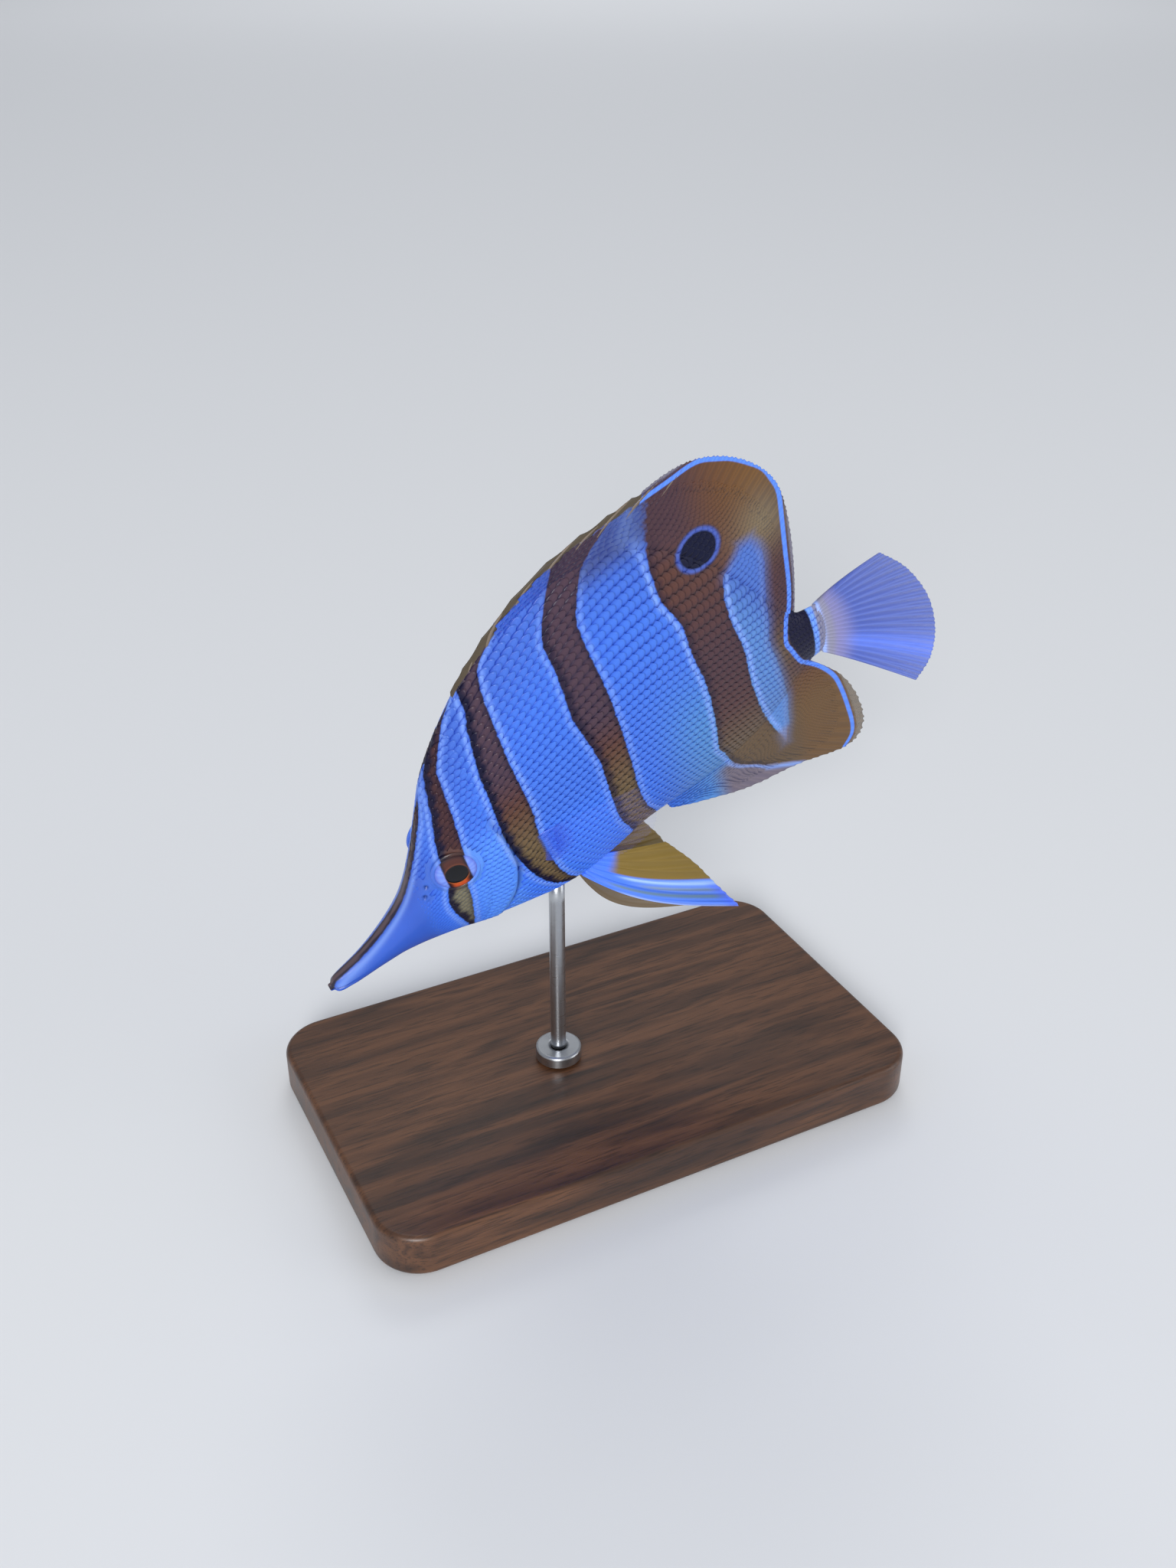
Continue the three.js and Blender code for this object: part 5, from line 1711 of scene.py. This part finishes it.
class FISH_OT_belly_fins(bpy.types.Operator):
    """Makes the two belly fins, each with a thick blue-white spine in front and a yellow web behind"""
    bl_idname = "fish.belly_fins"
    bl_label = "Belly fins"

    def execute(self, context):
        looks = linear_all(BELLY_FIN_COLOURS)
        for side, word in SIDES:
            shape = PELVICS[word]
            place = spread_place(shape["root"], shape["tips"], shape["bow"], 1.0, 0.008, PELVIC_RAYS)
            web = fin_half(0.6, PELVIC_RAYS, 0.2, fork_from=0.3)

            def half(s, t):
                return web(s, t) + 0.36 * bell(s / 0.08) * (1 - 0.75 * t)

            places, faces, s, t = sheet(place, half, 180, 64)
            ray = rays_at(s, t, PELVIC_RAYS, fork_from=0.3)
            outer = smooth((t - 0.2) / 0.2)
            ground = washed(np.ones(places.shape) * looks["front"], looks, (
                ("first_line", 0.8 * bell((s - 0.13 - 0.05 * t) / 0.035) * smooth((t - 0.1) / 0.2)),
                ("second_line", 0.6 * bell((s - 0.27) / 0.03) * smooth((t - 0.3) / 0.3)),
                ("third_line", 0.9 * bell((s - 0.36) / 0.035) * outer),
                ("front_edge", 0.6 * bell(s / 0.05) * outer),
                ("web", smooth((s - 0.4) / 0.04) * smooth((t - 0.12) / 0.15)),
                ("between_rays", 0.5 * smooth((s - 0.42) / 0.1) * (1 - ray) * smooth((t - 0.2) / 0.3)),
                ("tip", 0.7 * smooth((t - 0.9) / 0.1) * smooth((0.4 - s) / 0.1)),
            ))
            if side < 0:
                ground = mixed(ground, looks["far_edge"], smooth((0.2 - s) / 0.05))
            piece(f"belly_fin_{word}", on_stand(places), faces, "pelvic", "pelvic_fin", (f"pelvic_{word}",),
                  {"ground": ground, "clear": 0.3 * smooth((t - 0.6) / 0.4)})
        return {"FINISHED"}


# Stand
def rounded_outline(length, width, corner, steps):
    """A rectangle with round corners: a quarter circle of steps points at each corner."""
    points = []
    quarter = np.linspace(0, math.pi / 2, steps)
    for k, (sx, sy) in enumerate(((1, 1), (-1, 1), (-1, -1), (1, -1))):
        turn = quarter + k * math.pi / 2
        points.append(np.column_stack([
            sx * (length / 2 - corner) + corner * np.cos(turn),
            sy * (width / 2 - corner) + corner * np.sin(turn),
        ]))
    return np.concatenate(points)


def in_mm(box):
    """The lowest and the highest corner of a box in millimetres."""
    return [np.array(corner) / MM for corner in box]


class FISH_OT_stand(bpy.types.Operator):
    """Makes the walnut base with its rounded edges, the steel collar and the rod"""
    bl_idname = "fish.stand"
    bl_label = "Stand"

    def execute(self, context):
        low, high = in_mm(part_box("stand_base"))
        length, width, height = high - low
        turn = np.linspace(0, math.pi / 2, 7)
        flat, curved = [BASE_BEVEL + BASE_FLAT], BASE_BEVEL * (1 - np.cos(turn))
        rising = BASE_BEVEL * (1 - np.sin(turn))
        rings = []
        for gap, z in zip(
            np.concatenate([flat, rising, curved, flat]),
            np.concatenate([[0], curved, height - rising, [height]]),
        ):
            around = rounded_outline(length - 2 * gap, width - 2 * gap, max(BASE_CORNER - gap, 0.5), 16)
            rings.append(np.column_stack([around, np.full(len(around), z)]))
        rows, around = len(rings), len(rings[0])
        faces = [list(face)[::-1] for face in grid_faces(rows, around, closed=True)]
        faces.append(list(range(around))[::-1])
        faces.append([(rows - 1) * around + k for k in range(around)])
        piece("stand_base_walnut", np.concatenate(rings) * MM, faces, "wood", "stand_wood", ("stand_base",))
        low, high = in_mm(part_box("stand_collar"))
        radius = (high[0] - low[0]) / 2
        profile = [
            (COLLAR_BORE, low[2]), (radius - 0.3, low[2]), (radius, low[2] + 0.3), (radius, high[2] - 0.45),
            (radius - 0.12, high[2] - 0.2), (radius - 0.45, high[2]),
            (2.0, high[2]), (COLLAR_BORE, high[2] - 0.3),
        ]
        piece("stand_collar_turned", *self.lathed(profile, True), "steel", "stand_steel", ("stand_collar",))
        low, high = in_mm(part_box("stand_rod"))
        bottom, top = low[2] - 0.3, high[2] + 1.0
        profile = [(0.02, bottom), (ROD_RADIUS, bottom), (ROD_RADIUS, top), (0.02, top)]
        piece("stand_rod_ground", *self.lathed(profile, False), "steel", "stand_steel", ("stand_rod",))
        return {"FINISHED"}

    def lathed(self, profile, open_middle):
        """A profile of (radius, height) turned about the rod's axis, closed on itself or at its ends."""
        angle = np.linspace(0, 2 * math.pi, TURNED_SIDES, endpoint=False)
        rows = np.array(profile + profile[:1] if open_middle else profile, float)
        dense = [rows[:1]]
        for start, end in zip(rows[:-1], rows[1:]):
            dense.append(start + (end - start) * np.linspace(0.02, 1, 8)[:, None])
        rows = np.concatenate(dense)
        if open_middle:
            rows = rows[:-1]
        places = np.stack([
            ROD_X + rows[:, :1] * np.cos(angle), rows[:, :1] * np.sin(angle), rows[:, 1:] + 0 * angle,
        ], -1).reshape(-1, 3)
        faces = [list(face)[::-1] for face in grid_faces(len(rows), TURNED_SIDES, closed=True)]
        last = (len(rows) - 1) * TURNED_SIDES
        if open_middle:
            here = np.arange(TURNED_SIDES)
            after = np.roll(here, -1)
            faces += np.stack([last + here, last + after, after, here], -1).tolist()
        else:
            faces += [list(range(TURNED_SIDES))[::-1], [last + k for k in range(TURNED_SIDES)]]
        return places * MM, faces


# Stage
VIEW_FROM = (-110.0, -213.0, 207.6)
SOFTBOXES = (
    ("softbox_key", (-1.0, -1.55, 0.95), 0.6, 34.0),
    ("softbox_top", (0.4, 0.9, 2.4), 1.6, 11.0),
    ("softbox_fill", (1.4, -1.0, 0.5), 1.2, 7.0),
)
SOFTBOXES_AIM = Vector((-0.01, 0, 0.08))
FLOOR_LIGHT = ("softbox_floor", (1.9, 3.6, 3.0), 2.0, 56.0)
FLOOR_REACH = 8.0


def softbox(scene, light_share, name, place, size, power):
    """A square area light at a place in metres, shining straight down until it is turned."""
    light = bpy.data.lights.new(name, "AREA")
    light.size, light.energy = size, power * light_share
    lamp = bpy.data.objects.new(name, light)
    lamp.location = place
    scene.collection.objects.link(lamp)
    return lamp


class FISH_OT_stage(bpy.types.Operator):
    """Sets the pale floor, four softboxes and the camera"""
    bl_idname = "fish.stage"
    bl_label = "Stage"

    def execute(self, context):
        scene, settings = context.scene, context.scene.fish_stage
        mesh = bpy.data.meshes.new("floor")
        corners = [(-1, -1), (1, -1), (1, 1), (-1, 1)]
        mesh.from_pydata([(x * FLOOR_REACH, y * FLOOR_REACH, 0) for x, y in corners], [], [(0, 1, 2, 3)])
        mesh.materials.append(finish_named("floor"))
        floor = bpy.data.objects.new("floor", mesh)
        scene.collection.objects.link(floor)
        world = bpy.data.worlds.new("studio")
        world.use_nodes = True
        back = world.node_tree.nodes["Background"]
        back.inputs["Color"].default_value = (*linear(STUDIO_COLOUR), 1)
        back.inputs["Strength"].default_value = 0.46 * settings.light
        scene.world = world
        scene.view_settings.view_transform = "Standard"
        for name, place, size, power in SOFTBOXES:
            lamp = softbox(scene, settings.light, name, place, size, power)
            lamp.rotation_euler = (SOFTBOXES_AIM - Vector(place)).to_track_quat("-Z", "Y").to_euler()
        softbox(scene, settings.light, *FLOOR_LIGHT).visible_glossy = False
        camera = bpy.data.cameras.new("camera")
        camera.lens, camera.sensor_width, camera.clip_start = settings.lens, 36.0, 0.01
        eye = bpy.data.objects.new("camera", camera)
        turn, fall = settings.azimuth, settings.elevation
        look = Vector((-math.sin(turn) * math.cos(fall), math.cos(turn) * math.cos(fall), -math.sin(fall)))
        eye.location = Vector(VIEW_FROM) * MM
        eye.rotation_euler = look.to_track_quat("-Z", "Y").to_euler()
        scene.collection.objects.link(eye)
        scene.camera = eye
        return {"FINISHED"}


STEPS = (
    FISH_OT_stage, FISH_OT_skin, FISH_OT_body_scales, FISH_OT_head_scales, FISH_OT_eyes, FISH_OT_spiny_fin,
    FISH_OT_soft_fins, FISH_OT_fin_scales, FISH_OT_tail_fin, FISH_OT_side_fins, FISH_OT_belly_fins,
    FISH_OT_stand,
)


class FISH_PT_panel(bpy.types.Panel):
    """Lists the pieces of the model and their settings"""
    bl_label = "Copperband butterflyfish"
    bl_idname = "FISH_PT_panel"
    bl_space_type = "VIEW_3D"
    bl_region_type = "UI"
    bl_category = "Fish model"

    def draw(self, context):
        for step in STEPS:
            self.layout.operator(step.bl_idname)
        for group in (context.scene.fish_colours, context.scene.fish_sizes, context.scene.fish_stage):
            box = self.layout.box()
            for key in group.__annotations__:
                box.prop(group, key)


GROUPS = {"fish_colours": FishColours, "fish_sizes": FishSizes, "fish_stage": StageSettings}


def register():
    for group in GROUPS.values():
        bpy.utils.register_class(group)
    for step in (*STEPS, FISH_PT_panel):
        bpy.utils.register_class(step)
    for key, group in GROUPS.items():
        setattr(bpy.types.Scene, key, bpy.props.PointerProperty(type=group))


def unregister():
    for key in GROUPS:
        delattr(bpy.types.Scene, key)
    for step in (FISH_PT_panel, *reversed(STEPS)):
        bpy.utils.unregister_class(step)
    for group in GROUPS.values():
        bpy.utils.unregister_class(group)


def main():
    register()
    for step in STEPS:
        family, name = step.bl_idname.split(".")
        getattr(getattr(bpy.ops, family), name)()


if __name__ == "__main__":
    main()
